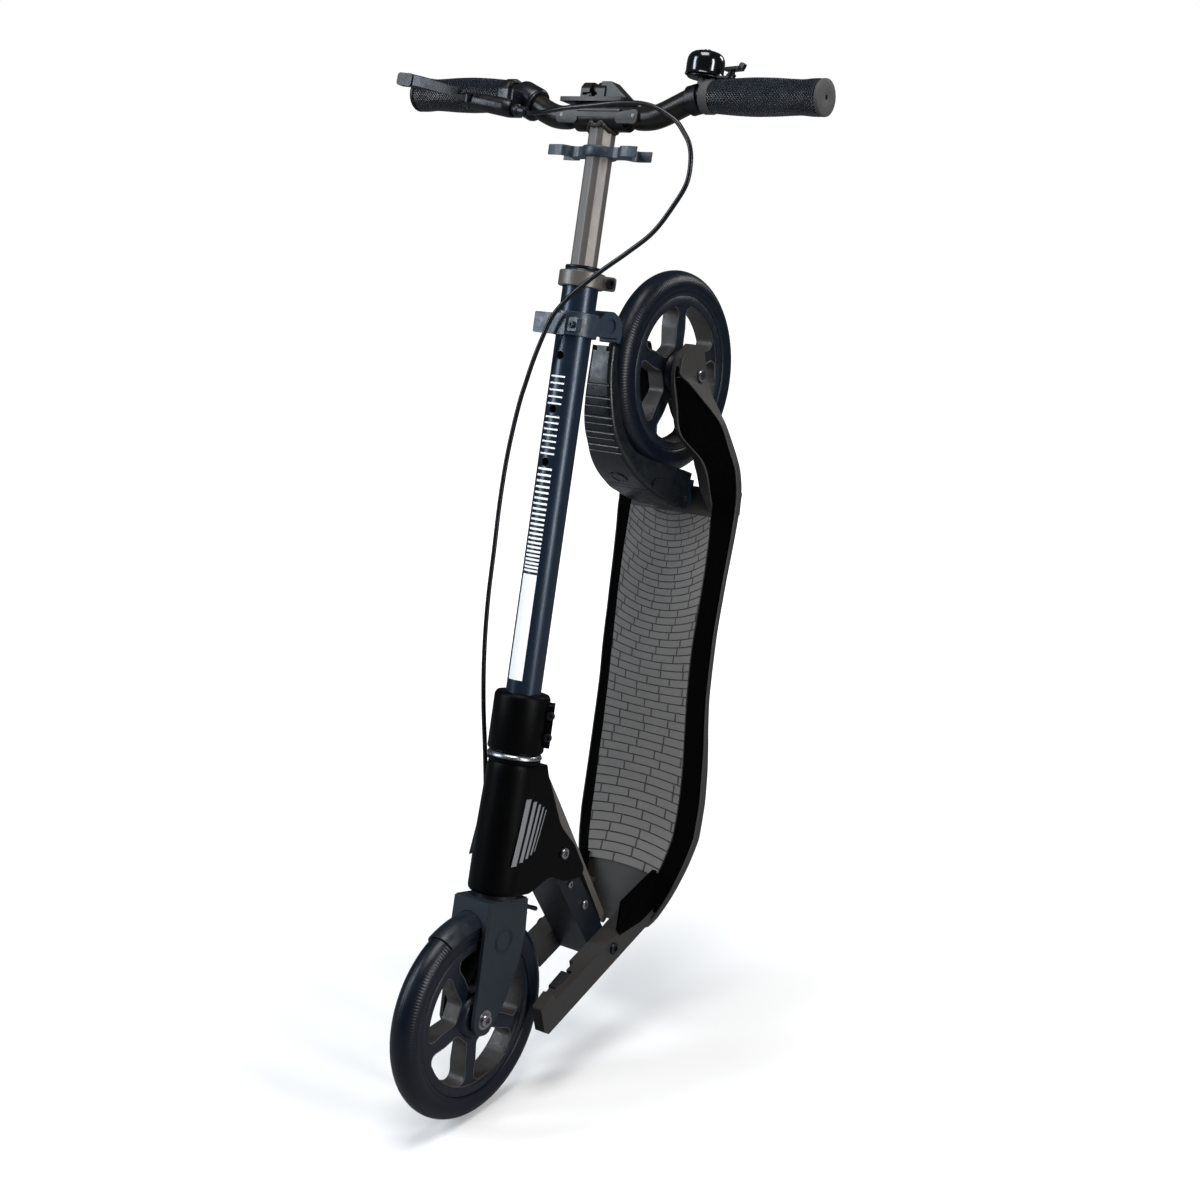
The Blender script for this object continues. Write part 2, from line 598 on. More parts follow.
NODE_MATERIALS = {
    "tyre_rubber": stop_rubber, "wheel_core": rim_face, "bearing_steel": steel, "housing_black": black_paint,
    "frame_navy": navy, "fork_navy": fork_paint, "deck_grey": deck_paint, "bar_taupe": taupe_paint,
    "moulded_navy": moulded, "moulded_black": moulded_black, "bell_gloss": gloss, "grip_rubber": grip,
    "cap_grey": cap_rubber, "cable_sheath": sheath, "tread_sheet": tread, "strip_black": strip,
    "bolt_bright": chrome, "bolt_dark": dark_bolt, "stop_rubber": stop_rubber,
}
node_slot = {q["node"]: q["material_slot"] for q in frame["record"].get("subparts", []) if q.get("material_slot")}
NAME_MATERIALS = [
    ("bearing", steel), ("pin", chrome), ("bolt", chrome), ("tyre", stop_rubber), ("core", rim_face), ("grip_sheet", tread),
    ("strip", strip), ("stop", stop_rubber), ("pad", stop_rubber), ("head_tube", black_paint), ("bush", moulded_black),
    ("housing", black_paint), ("collar", navy), ("fork", fork_paint), ("brace", deck_paint), ("deck", deck_paint),
    ("bar", taupe_paint), ("stem", taupe_paint), ("clamp", taupe_paint), ("cable", sheath), ("cap", cap_rubber),
    ("grip", grip), ("bell", gloss),
]
for n, o in frame["nodes"].items():
    pick = NODE_MATERIALS.get(node_slot.get(n))
    if pick is None:
        pick = next((m for key, m in NAME_MATERIALS if key in n), moulded)
    if not o.material_slots:
        o.data.materials.append(pick)
    for s in o.material_slots:
        s.link = "OBJECT"
        s.material = pick


# ---------------------------------------------------------------- wheels
def arc(cx, cy, rad, a0, a1, n):
    return [[cx + rad * math.cos(math.radians(a0 + (a1 - a0) * i / n)), cy + rad * math.sin(math.radians(a0 + (a1 - a0) * i / n))] for i in range(n + 1)]


def wheel(body, cy, cz, phase):
    s = body.split("_")[0]
    w, rc = TYRE_HALF - 0.1, WHEEL_R - 0.35 - TYRE_HALF
    prof = [[77.9, -12.2], [79.2, -13.0], [82, -13.75], [83, -13.55], [83.8, -13.95]] + arc(rc, 0, w, -84, 84, 40) + [[83.8, 13.95], [83, 13.55], [82, 13.75], [79.2, 13.0], [77.9, 12.2]]
    piece(f"{s}_tyre_smooth", lathe(prof, (0, cy, cz), (1, 0, 0), 180), tyre_material(f"tyre_{s}", cy, cz), body, f"{s}_tyre", angle=50)
    # rim, web and hub with five windows
    band = lathe([[69.6, -12.3], [76.9, -12.3], [77.5, -11.8], [77.5, 11.8], [76.9, 12.3], [69.6, 12.3], [68.6, 11.2], [68.2, 9.3], [68.2, -9.3], [68.6, -11.2]], seg=160)
    web = lathe([[8, -8.4], [30, -8.4], [46, -8.9], [62, -9.3], [69, -9.3], [69, 9.3], [62, 9.3], [46, 8.9], [30, 8.4], [8, 8.4]], seg=160)
    hub = lathe([[11.2, -13.0], [11.6, -13.4], [18.8, -13.4], [19.6, -12.9], [21.8, -8.4], [21.8, 8.4], [19.6, 12.9], [18.8, 13.4], [11.6, 13.4], [11.2, 13.0]], seg=64)
    ops, loops = [("+", web), ("+", hub), ("-", rod([0, 0, -20], [0, 0, 20], 11.1, 11.1, 64))], []
    for k in range(5):
        a0 = phase + k * 2 * math.pi / 5

        def P(rad, deg):
            a = a0 + math.radians(deg)
            return [rad * math.cos(a), rad * math.sin(a)]

        win = rounded([[*P(27.5, -20), 6], [*P(46, -25.5), 14], [*P(68.2, -31), 13], [*P(68.7, -9), 0], [*P(68.8, 0), 0], [*P(68.7, 9), 0], [*P(68.2, 31), 13], [*P(46, 25.5), 14], [*P(27.5, 20), 6]], 5, 7)
        ops.append(("-", ext("z", win, -15, 15)))
        loops.append(win)
    m = csg(band, *ops)
    # wheel z becomes the scooter's x
    swap = np.array([[0, 0, 1.0], [0, 1, 0], [-1, 0, 0]])

    def stand(v):
        return v @ swap.T + np.array([0, cy, cz])

    core = (stand(m[0]), m[1])
    centre = Vector((0, cy, cz))

    def face(n, c):
        rad = math.hypot(c.y - cy, c.z - cz)
        return 1 if abs(n.x) < 0.35 and 25 < rad < 69.5 else 0

    o = piece(f"{s}_wheel_core_cast", core, [rim_face, rim_wall], body, f"{s}_wheel_core", bevel=0.7, angle=40, seg=3, by_face=face)
    # raised bead that outlines each window on both faces
    beads = []
    for win in loops:
        p = np.array(win)
        c = p.mean(0)
        d = np.roll(p, -1, 0) - np.roll(p, 1, 0)
        nn = np.stack([d[:, 1], -d[:, 0]], 1)
        nn /= np.maximum(np.linalg.norm(nn, axis=1), 1e-9)[:, None]
        if np.mean(np.einsum("ij,ij->i", nn, p - c)) < 0:
            nn = -nn
        q = p + nn * 0.9
        keep = np.hypot(q[:, 0], q[:, 1]) < 69.4
        for zz in (9.0, -9.0):
            rr = np.hypot(q[:, 0], q[:, 1])
            hgt = np.interp(rr, [20, 30, 46, 62, 69], [8.4, 8.4, 8.9, 9.3, 9.3])
            ring = np.stack([q[:, 0], q[:, 1], np.sign(zz) * hgt], 1)
            t = tube(ring, 0.55, 8, closed=True, up=(0, 0, 1))
            beads.append((stand(t[0]), t[1]))
    piece(f"{s}_window_beads", cat(*beads), rim_bead, body, (), angle=60)
    return o


wheel("front_wheel", -TRAIL, 0, FRONT_PHASE)
wheel("rear_wheel", REAR_Y, REAR_Z, REAR_PHASE)


def socket_bolt(at, direction, length, r, hr, hh):
    """round cap head with a hexagon socket; the head starts at `at` and the shank runs along direction"""
    at, d = np.array(at, float), np.array(direction, float) / np.linalg.norm(direction)
    head = lathe([[0, 0], [hr - 1.0, 0], [hr - 0.35, 0.25], [hr, 0.9], [hr, hh], [r, hh], [r, hh + length], [0, hh + length]], at, d, 40)
    return csg(head, ("-", hexrod(at - d, at + d * hh * 0.6, hr * 0.52)))


def through_bolt(x, y, z, r, hr, hh, nr, nh):
    b = socket_bolt([x + hh, y, z], [-1, 0, 0], 2 * x, r, hr, hh)
    nut = csg(hexrod([-x + 0.05, y, z], [-x - nh, y, z], nr), ("&", lathe([[0, -nh - 0.1], [nr * 0.86, -nh - 0.1], [nr * 1.02, -nh + 1.2], [nr * 1.02, 0.2], [0, 0.2]], (-x, y, z), (1, 0, 0), 48)))
    return cat(b, nut)


# ---------------------------------------------------------------- fork and mudguard
def build_fork():
    blade = rounded([[-33.6, 113], [25.6, 113], [28.5, 84, 8], [26, 54, 24], [12, 15, 26], [-1.5, -5, 12], [-9, -15.5, 10], [-24, -15.5, 10], [-31.5, -6, 9], [-31.8, 6, 12], [-33.8, 80, 12]], 1, 8)
    hole = rod([-30, -TRAIL, 0], [30, -TRAIL, 0], 4.4)
    crown = rbox(-21.4, 21.4, -33.8, 25.8, 108, 115, 3, "z")

    def skirt(zc, zb):
        return [(21.4, zb), (21.4, 114), (-21.4, 114), (-21.4, zb)] + [(17 * math.cos(math.pi - math.pi * i / 32), zc + 17 * math.sin(math.pi - math.pi * i / 32)) for i in range(33)]

    plates = csg(ext("x", blade, 17.8, 21.6), ("+", ext("x", blade, -21.6, -17.8)), ("+", crown), ("+", ext("y", skirt(86.3, 84), -34, -30.5)), ("+", ext("y", skirt(80.5, 79), 22.5, 26)), ("-", hole), ("-", rod([0, 0, 90], [0, 0, 120], 11.6)))
    piece("fork_body", plates, fork_paint, "steering", "fork", bevel=0.8, angle=40, seg=3)
    lug = rounded([[24, 99], [34, 94.5, 5], [40.5, 97.5, 5], [40.5, 104, 5], [30, 113], [24, 113]], 0, 6)
    extra = [ext("x", lug, 7, 10), ext("x", lug, -10, -7), rod([-9, 36, 100], [9, 36, 100], 2.0)]
    piece("fork_brake_lugs", cat(*extra), fork_paint, "steering", (), bevel=0.3)
    race = lathe([[11.6, 110], [21.5, 110], [21.5, 118.4], [21.0, 118.9], [17.2, 118.9], [17.2, 121.2], [14.3, 121.2], [14.3, 330], [11.6, 330]], seg=80)
    piece("fork_steerer", race, block_paint, "steering", ())
    trim = []
    for s in (1, -1):
        trim.append(lathe([[4.4, 0], [8.2, 0], [8.5, 0.3], [8.5, 4.5], [8.2, 4.8], [4.4, 4.8]], (13.9 if s > 0 else -18.7, -TRAIL, 0), (1, 0, 0), 48))
        for r0, r1 in ((9.9, 10.7), (12.2, 12.9)):
            trim.append(lathe([[r0, 0], [r1, 0], [r1 - 0.1, 0.75], [r1 - 0.3, 0.85], [r0 + 0.3, 0.85], [r0 + 0.1, 0.75]], (21.3 * s, -4, 76), (s, 0, 0), 64))
        # pressed stiffening line round the crown
        trim.append(tube([(21.7 * s, -30.5, 84 + k) for k in (0, 6, 12, 18, 24)] , 0.28, 8))
    piece("fork_bosses", cat(*trim), fork_paint, "steering", (), angle=50)
    rc = WHEEL_R - TYRE_HALF
    secs = []
    for a in np.linspace(-36.5, 15, 34):
        A, T, ring = math.radians(a), 1.28, []
        # the front edge is cut to a shallow point
        for rr, order in ((16.4, range(0, 33)), (15.0, range(32, -1, -1))):
            for i in order:
                t = -T + 2 * T * i / 32
                R = rc + rr * math.cos(t)
                ring.append((rr * math.sin(t), -TRAIL + R * math.sin(A), R * math.cos(A)))
        secs.append(ring)
    piece("front_mudguard_shell", loft(secs), moulded, "steering", "front_mudguard", bevel=0.35, angle=50)
    piece("front_axle_hardware", through_bolt(21.9, -TRAIL, 0, 4, 6.8, 3.5, 7, 4.5), chrome, "steering", "front_axle_bolt", angle=30)
    wash = cat(*[lathe([[4.1, 0], [9.3, 0], [9.5, 0.2], [9.5, 0.35], [4.1, 0.35]], (21.6 * q, -TRAIL, 0), (q, 0, 0), 48) for q in (1, -1)])
    piece("front_axle_washers", wash, steel, "steering", ())


build_fork()


def on(rad, a):
    return [-TRAIL + rad * math.cos(math.radians(a)), rad * math.sin(math.radians(a))]


arm = rounded([[32.2, 102.5, 3], [36.5, 104.8, 3], [41, 101.6, 3], [*on(114, 58), 3], [*on(114, 54), 1], [*on(109.2, 54), 1], [*on(109.2, 61), 3], [33.2, 96.6, 3]], 1.5, 6)
piece("brake_arm_cast", csg(ext("x", arm, -5, 5), ("-", rod([-9, 36, 100], [9, 36, 100], 2.3))), moulded_black, "brake_arm", "brake_arm", bevel=0.5)


# ---------------------------------------------------------------- head
def cheek_x(z):
    return lerp([[119.5, 25.8], [124, 26.6], [180, 26.2], [240, 24.2], [246, 23.2]], z)


def build_head():
    def plan(w, z, y1=115):
        return [(w * math.cos(math.pi + math.pi * i / 48), -1 + w * math.sin(math.pi + math.pi * i / 48), z) for i in range(49)] + [(w, y1, z), (-w, y1, z)]

    zs = [119.5, 120.3, 121.6, 124] + [124 + (240 - 124) * i / 12 for i in range(1, 13)] + [242, 244, 245.2, 246]
    wid = [[119.5, 24.9], [120.3, 25.7], [121.6, 26.3], [124, 26.6], [180, 26.2], [240, 24.2], [243, 23.9], [245.2, 23.4], [246, 22.8]]
    h = loft([plan(lerp(wid, z), z) for z in zs])
    side = rounded([[-40, 118], [19, 120, 3], [49, 134.5, 16], [75, 127, 9], [99, 128.5, 6], [106, 136, 5], [84, 162.5, 34], [56, 184, 44], [25.5, 238, 22], [23, 248], [-40, 248]], 0, 12)
    pocket = rounded([[14, 147.4], [62.5, 130.6], [145, 44], [170, 60], [156.4, 73.7], [99.9, 134.7], [62.6, 176.8, 5], [38.2, 190.6, 4], [14, 190.6]], 0, 5)
    h = csg(h, ("&", ext("x", side, -40, 40)), ("-", rod([0, 0, 100], [0, 0, 260], 20.4, 20.4, 80)), ("-", ext("x", pocket, -22.3, 22.3)), ("-", rod([-40, 66, 156], [40, 66, 156], 4.4)))
    piece("head_housing_shell", h, black_paint, "frame", "head_housing", bevel=1.0, angle=40, seg=3)
    # printed bars on both cheeks: a plain run of leaning bars, thick to thin
    bars = []
    for q in (1, -1):
        for y0, wdt, za, zb in ((-15, 7.5, 150, 214), (-3.5, 5.2, 153, 211), (5, 3.6, 156, 208), (11.8, 2.3, 159, 205), (17.2, 1.2, 162, 202)):
            n, v = 14, []
            for i in range(n + 1):
                t = i / n
                z = za + (zb - za) * t
                y = y0 + 11 * t
                x = q * (cheek_x(z) + 0.09)
                v += [(x, y, z), (x, y + wdt, z), (x - q * 0.3, y, z), (x - q * 0.3, y + wdt, z)]
            f = []
            for i in range(n):
                a, b = 4 * i, 4 * i + 4
                for k, l in ((0, 1), (1, 3), (3, 2), (2, 0)):
                    f.append([a + k, a + l, b + l, b + k])
            f += [[0, 2, 3, 1], [4 * n, 4 * n + 1, 4 * n + 3, 4 * n + 2]]
            bars.append(outward((np.array(v, float), f)))
    piece("head_printed_bars", cat(*bars), print_grey, "frame", ())
    block = rounded([[20.9, 148, 0], [63, 131.3], [145, 45.3, 3], [154, 36.5, 8], [167, 39, 9], [171.5, 54, 8], [158, 71, 3], [156, 73.2], [99.5, 134.2], [62, 176, 6], [38, 190, 4], [20.9, 190, 0]], 0, 6)
    b = csg(ext("x", block, -21.9, 21.9), ("-", rod([-40, 66, 156], [40, 66, 156], 4.4)), ("-", rod([-40, FOLD_Y, FOLD_Z], [40, FOLD_Y, FOLD_Z], 5.4)), ("-", rod([-40, 91, 121], [40, 91, 121], 2.8)), ("-", rod([-40, 121, 97], [40, 121, 97], 3.4)), ("-", rod([0, 140, 115.8], [0, 124.4, 101.5], 7.4)))
    piece("folding_block_milled", b, block_paint, "frame", "folding_block", bevel=0.9, angle=35, seg=3)
    br = rounded([[26, 239.2], [57.5, 203.5], [111, 141], [165.4, 77], [161.4, 72.6], [156.4, 75.2], [107.2, 135.2], [84.9, 163.4], [57, 184.6]], 1, 4)
    k = csg(ext("x", br, -21.6, 21.6), ("-", rod([0, 140, 117], [0, 110, 90], 8.2)), ("-", rod([0, 0, 100], [0, 0, 260], 25.0, 25.0, 96)), ("-", box(-40, 40, -40, 200, 235.5, 300)))
    piece("brace_plate", k, taupe_paint, "frame", "brace", bevel=0.7, angle=35, seg=3)
    piece("head_lock_hardware", through_bolt(26.9, 66, 156, 4, 5.6, 3.0, 7, 4.2), chrome, "frame", "lock_bolt", angle=30)
    piece("block_screw_upper", socket_bolt([23.9, 91, 121], [-1, 0, 0], 44, 2.4, 3.9, 1.7), chrome, "frame", "block_pin_upper", angle=30)
    piece("block_screw_lower", socket_bolt([24.6, 121, 97], [-1, 0, 0], 44, 3.0, 5.2, 2.4), chrome, "frame", "block_pin_lower", angle=30)
    nb = [0, -0.736, -0.677]
    btn = lathe([[0, 0], [4.4, 0], [5.6, 0.3], [6.6, 1.0], [7.0, 2], [7.0, 13], [0, 13]], (0, 136.5, 112.6), nb, 64)
    piece("fold_release_cap", btn, moulded, "fold_button", "fold_release_button")
    cup = lathe([[17.4, 121.5], [20.0, 121.5], [20.0, 246.2], [24.6, 246.2], [25.4, 246.9], [25.6, 247.4], [25.6, 249.9], [25.1, 250.4], [17.4, 250.4], [17.4, 240], [16.2, 240], [16.2, 131], [17.4, 131]], seg=96)
    piece("head_tube_turned", cup, black_paint, "frame", "head_tube")


build_head()
piece("headset_ring", lathe([[14.7, 250.8], [25.9, 250.8], [26.4, 251.3], [26.4, 252.9], [26.0, 253.6], [24.6, 255.6], [24.0, 255.9], [14.7, 255.9]], seg=112), steel, "steering", "headset_cap")

# ---------------------------------------------------------------- column
E, B = (0.81, 0.586), (0.586, -0.81)
EAR = math.atan2(E[1], E[0])


def ear(a, b, z):
    return [E[0] * a + B[0] * b, E[1] * a + B[1] * b, z]


def build_column():
    rings = sorted({round(min(max(z + d, COL_Z0 + 2), COL_Z1 - 4), 2) for z in [*HOLE_Z, BUTTON_Z] for d in (-6, 6)} | {round(float(v), 2) for v in np.linspace(COL_Z0 + 12, COL_Z1 - 12, 24)})
    c = lathe([*[[COL_BORE, z] for z in reversed(rings)], [COL_BORE, COL_Z0], [COL_R, COL_Z0], *[[COL_R, z] for z in rings], [COL_R, COL_Z1 - 0.5], [COL_R - 0.4, COL_Z1], [COL_BORE, COL_Z1]], seg=144)
    ops = [("-", rod([0, -30, z], [0, 30, z], HOLE_R, HOLE_R, 40)) for z in HOLE_Z] + [("-", rod([0, 5, BUTTON_Z], [0, 30, BUTTON_Z], HOLE_R, HOLE_R, 40))]
    piece("column_tube_drawn", csg(c, *ops), navy, "steering", "column_tube", angle=40)
    # printed height scale: short white bars that crowd together into a solid panel
    marks, z = [], 612.5
    marks += [612.5 - 6.36 * i for i in range(5)] + [574.5 - 5.75 * i for i in range(7)]
    z = 525.5
    for i in range(22):
        marks.append(z)
        z -= 5.75 - 2.45 * i / 21
    spans = [(m - w, m + w) for m, w in zip(marks, [0.75] * 12 + [1.0] * 22)] + [(325.0, marks[-1] - 3.4)]
    bars, half = [], math.radians(28)
    for z0, z1 in spans:
        v, f, n = [], [], 20
        for i in range(n + 1):
            a = -math.pi / 2 - half + 2 * half * i / n
            for rr in (COL_R - 0.2, COL_R + 0.07):
                for zz in (z0, z1):
                    v.append((rr * math.cos(a), rr * math.sin(a), zz))
        for i in range(n):
            a, b = 4 * i, 4 * i + 4
            for k, l in ((0, 1), (1, 3), (3, 2), (2, 0)):
                f.append([a + k, a + l, b + l, b + k])
        f += [[0, 2, 3, 1], [4 * n, 4 * n + 1, 4 * n + 3, 4 * n + 2]]
        bars.append(outward((np.array(v), f)))
    piece("column_printed_scale", cat(*bars), white, "steering", (), angle=40)
    k = lathe([[17.3, 256.6], [25.0, 256.6], [25.6, 256.8], [26.6, 257.8], [27, 258.8], [27, 308.2], [26.6, 309.8], [25.4, 312], [24.6, 312.6], [17.3, 312.6]], seg=112)
    k = csg(k, ("+", turned(rbox(20, 32, -8, 8, 263, 306, 3, "x"), EAR)), ("-", rod([0, 0, 250], [0, 0, 320], 17.3, 17.3, 96)), ("-", turned(box(10, 40, -1, 1, 250, 320), EAR)),
            *[("-", rod(ear(29, 8, z), ear(29, 16, z), 4.6)) for z in (274, 295)])
    piece("clamp_collar_turned", k, black_paint, "steering", "clamp_collar", bevel=0.5, angle=40)
    for nm, z in (("lower", 274), ("upper", 295)):
        piece(f"clamp_screw_{nm}", socket_bolt(ear(29, 12.2, z), [-B[0], -B[1], 0], 18, 2.1, 4.2, 3.8), dark_bolt, "steering", f"clamp_bolt_{nm}", angle=30)
    t = lathe([[17.3, 697.2], [20.9, 697.2], [21.7, 698], [21.7, 710.8], [20.9, 711.6], [17.3, 711.6]], seg=112)
    t = csg(t, ("+", turned(rbox(18, 32.5, -6.4, 6.4, 698, 710.4, 3, "y"), EAR)), ("-", rod([0, 0, 690], [0, 0, 720], 17.3, 17.3, 96)), ("-", turned(box(10, 45, -0.9, 0.9, 690, 720), EAR)), ("-", rod(ear(27.6, -14, 704), ear(27.6, 14, 704), 2.7)))
    piece("height_clamp_band", t, taupe_paint, "steering", "height_clamp", bevel=0.6, angle=40)
    piece("height_clamp_screw", socket_bolt(ear(27.6, 11.4, 704), [-B[0], -B[1], 0], 17.5, 2.4, 4.9, 4.6), dark_bolt, "steering", "height_clamp_bolt", angle=30)
    bush = csg(lathe([[12.9, 668], [15.2, 668], [15.2, 713.8], [16.6, 713.8], [16.9, 714.2], [16.9, 716.2], [16.3, 716.8], [12.9, 716.8]], seg=96), ("-", box(-20, 20, 4, 30, 660, 690)))
    piece("column_bush_moulded", bush, moulded_black, "steering", "column_bush", angle=40)
    # catch collar
    c = lathe([[17.3, 651.6], [21.0, 651.6], [21.4, 652.0], [21.4, 673.0], [21.0, 673.4], [17.3, 673.4]], seg=112)
    hook = rounded([[14, 657], [46, 657, 0], [54.6, 658.6, 3], [55.2, 653.6, 1.5], [60.2, 653.6, 2], [62.4, 664, 9], [56, 677.5, 10], [44, 682, 12], [31, 680, 9], [24, 672.6, 4], [14, 672.6]], 0, 8)
    c = csg(c, ("+", rbox(-32, 5, -22.4, -18.4, 650.8, 670.4, 1.5, "y")), ("+", rbox(7, 17, -20.6, -12, 655, 668, 1.5, "y")), ("+", ext("x", hook, -10.5, 10.5)), ("-", ext("x", circle(43, 668, 7), 8.5, 20)), ("-", rod([0, 0, 640], [0, 0, 690], 17.3, 17.3, 96)), ("-", rod([12, -40, 661], [12, -13, 661], 2.5)))
    piece("catch_collar_moulded", c, clip_plastic, "steering", "catch_collar", bevel=0.9, angle=40, seg=3)
    piece("catch_screw", socket_bolt([12, -23.2, 661], [0, 1, 0], 7, 2.2, 3.4, 2.4), dark_bolt, "steering", "catch_bolt", angle=30)


build_column()


# ---------------------------------------------------------------- stem and cross head
def build_stem():
    prof = []
    for i in range(144):
        a, rr, deg = 2 * math.pi * i / 144, STEM_R, i * 2.5
        if 230 <= deg <= 290:
            rr = min(STEM_R, 11.7 / math.cos(math.radians(deg - 260)))
        if 310 <= deg <= 350:
            rr = min(STEM_R, 11.9 / math.cos(math.radians(deg - 330)))
        prof.append((rr * math.cos(a), rr * math.sin(a)))
    s = csg(ext("z", prof, STEM_Z0, 846), ("-", rod([0, 0, 600], [0, 0, 900], 10.4, 10.4, 64)), ("-", rod([0, 2, BUTTON_Z], [0, 30, BUTTON_Z], 3.8)), ("-", rod([-30, 0, BAR_Z], [30, 0, BAR_Z], CROSS_R + 0.3, CROSS_R + 0.3, 80)))
    piece("stem_tube_drawn", s, taupe_paint, "stem", "stem_tube", angle=12)
    # weld beads round the stem under the saddle
    ring = []
    for i in range(240):
        a = 2 * math.pi * i / 240
        x, y = 13.1 * math.cos(a), 13.1 * math.sin(a)
        zz = BAR_Z - math.sqrt(max(0.0, 13.3 ** 2 - min(13.2, abs(y)) ** 2)) - 0.4
        ring.append((x, y, max(zz, 842.0 - 2.5) if abs(y) < 12.4 else BAR_Z - 9.5))
    ring = np.array(ring)
    for _ in range(6):
        ring = (np.roll(ring, 1, 0) + ring + np.roll(ring, -1, 0)) / 3
    lump = [1.9 + 0.45 * abs(math.sin(math.pi * i / 240 * 26)) + 0.18 * math.sin(i * 0.37) for i in range(240)]
    bead = tube(ring, lump, 14, closed=True, up=(0, 0, 1))
    piece("stem_weld_bead", bead, weld_paint, "stem", (), angle=70)
    h = lathe([[0, -36], [CROSS_R - 0.4, -36], [CROSS_R, -35.6], [CROSS_R, 39.6], [CROSS_R - 0.4, 40], [0, 40]], (0, 0, BAR_Z), (1, 0, 0), 96)
    cheek = lambda x0, x1, y0, y1: ext("y", rounded([[x0, BAR_Z - 7.4, 4], [x1, BAR_Z - 7.4, 4], [x1, BAR_Z + 6, 4], [x0, BAR_Z + 2.4]], 0, 8), y0, y1)
    ops = [("-", rod([-60, 0, BAR_Z], [-26, 0, BAR_Z], CROSS_BORE, CROSS_BORE, 96)), ("-", rod([26, 0, BAR_Z], [60, 0, BAR_Z], CROSS_BORE, CROSS_BORE, 96)), ("-", rod([-27, 0, BAR_Z], [27, 0, BAR_Z], 9.2, 9.2, 80)), ("-", box(-60, 60, -20, 20, BAR_Z + 2.4, BAR_Z + 30)),
           ("-", box(28.4, 60, -CROSS_BORE, CROSS_BORE, BAR_Z - 20, BAR_Z + 20)), ("-", box(-60, -28.4, -CROSS_BORE, CROSS_BORE, BAR_Z - 20, BAR_Z + 20)),
           ("+", cheek(22, 46.5, -13.5, -CROSS_BORE)), ("+", cheek(22, 46.5, CROSS_BORE, 13.5)), ("+", cheek(-46.5, -22, -13.5, -CROSS_BORE)), ("+", cheek(-46.5, -22, CROSS_BORE, 13.5))]
    ops += [("-", rod([q * BAR_PIVOT_X, -20, BAR_Z], [q * BAR_PIVOT_X, 20, BAR_Z], 2.3)) for q in (1, -1)]
    ops += [("+", ext("y", [(-30, BAR_Z - 1), (38, BAR_Z - 3), (27, BAR_Z + 5.2), (-23, BAR_Z + 5.2), (-30, BAR_Z + 2.5)], -13.6, -CROSS_BORE)),
            ("+", box(-23, 27, -15.4, -CROSS_BORE, BAR_Z + 3.4, BAR_Z + 5.2)),
            ("+", ext("y", [(-45, BAR_Z + 4), (-24, BAR_Z - 2), (24, BAR_Z - 2), (31, BAR_Z + 3), (27, BAR_Z + 16), (-45, BAR_Z + 16)], CROSS_BORE, 13.4)),
            ("+", rbox(-45.5, 27, -13.4, 13.4, BAR_Z + 12.8, BAR_Z + 16.8, 1.6, "z"))]
    for x in (-24, -6.5):
        ops.append(("+", ext("x", rounded([[-10.5, BAR_Z + 16], [8, BAR_Z + 16], [8, BAR_Z + 26, 5], [2, BAR_Z + 31.6, 6], [-6, BAR_Z + 31.6, 5], [-10.5, BAR_Z + 26, 5]], 0, 7), x, x + 10)))
    ops += [("+", ext("y", [(-2, BAR_Z + 16), (27, BAR_Z + 16), (27, BAR_Z + 17.6), (8.4, BAR_Z + 31.8), (-2, BAR_Z + 31.8)], -9, 5)),
            ("-", rod([-40, -2, BAR_Z + 25.5], [6, -2, BAR_Z + 25.5], 2.1)), ("-", box(-13.9, -6.6, -12, 9, BAR_Z + 16.8, BAR_Z + 40)), ("-", box(-22, -5, -20, -7, BAR_Z + 18.8, BAR_Z + 21.4))]
    piece("bar_head_saddle", csg(h, *ops), bar_paint, "stem", "bar_head", bevel=0.45, angle=38)
    lv = ext("x", rounded([[-7, BAR_Z + 22.2, 2], [3.5, BAR_Z + 21.9, 2], [14, BAR_Z + 21.4, 1.5], [22, BAR_Z + 25, 2], [21, BAR_Z + 28, 2], [10, BAR_Z + 27, 4], [2, BAR_Z + 29.5, 4], [-5.5, BAR_Z + 29, 3]], 0, 6), -13.2, -7.2)
    lv = csg(lv, ("+", ext("x", rounded([[9, BAR_Z + 22.2, 1], [22, BAR_Z + 25, 1.5], [21, BAR_Z + 28, 1.5], [10, BAR_Z + 26.8, 1]], 0, 5), -22, 1)), ("+", rod([-23.6, -2, BAR_Z + 25.5], [3, -2, BAR_Z + 25.5], 1.8)))
    piece("bar_lock_lever_cast", lv, bar_paint, "bar_lock", "bar_lock_lever", bevel=0.5, angle=35)
    z0, z1, hi, ho = BAR_Z - 37.4, BAR_Z - 27.8, CROSS_BORE + 0.2, CROSS_BORE + 2.2
    cl = lathe([[12.95, z0], [16.0, z0], [16.4, z0 + 0.5], [16.4, z1 - 0.5], [16.0, z1], [12.95, z1]], seg=96)
    ops = []
    for q in (1, -1):
        a = rounded([[q * 10, -9], [q * 20, -6.2, 5], [q * 27, -6.4, 5], [q * 32, -ho, 6], [q * 41, -ho - 0.6, 7], [q * 51, -ho + 0.6, 1], [q * 51, -hi, 0.8], [q * 36, -hi, 5], [q * 33.6, -5, 4], [q * 33.6, 5, 4], [q * 36, hi, 5], [q * 51, hi, 0.8], [q * 51, ho - 0.6, 1], [q * 41, ho + 0.6, 7], [q * 32, ho, 6], [q * 27, 6.4, 5], [q * 20, 6.2, 5], [q * 10, 9]], 0, 6)
        ops.append(("+", ext("z", a, z0, z1)))
    ops.append(("-", rod([0, 0, z0 - 5], [0, 0, z1 + 1], 12.95, 12.95, 96)))
    piece("grip_clip_moulded", csg(cl, *ops), clip_plastic, "stem", "grip_clip", bevel=0.6, angle=40)
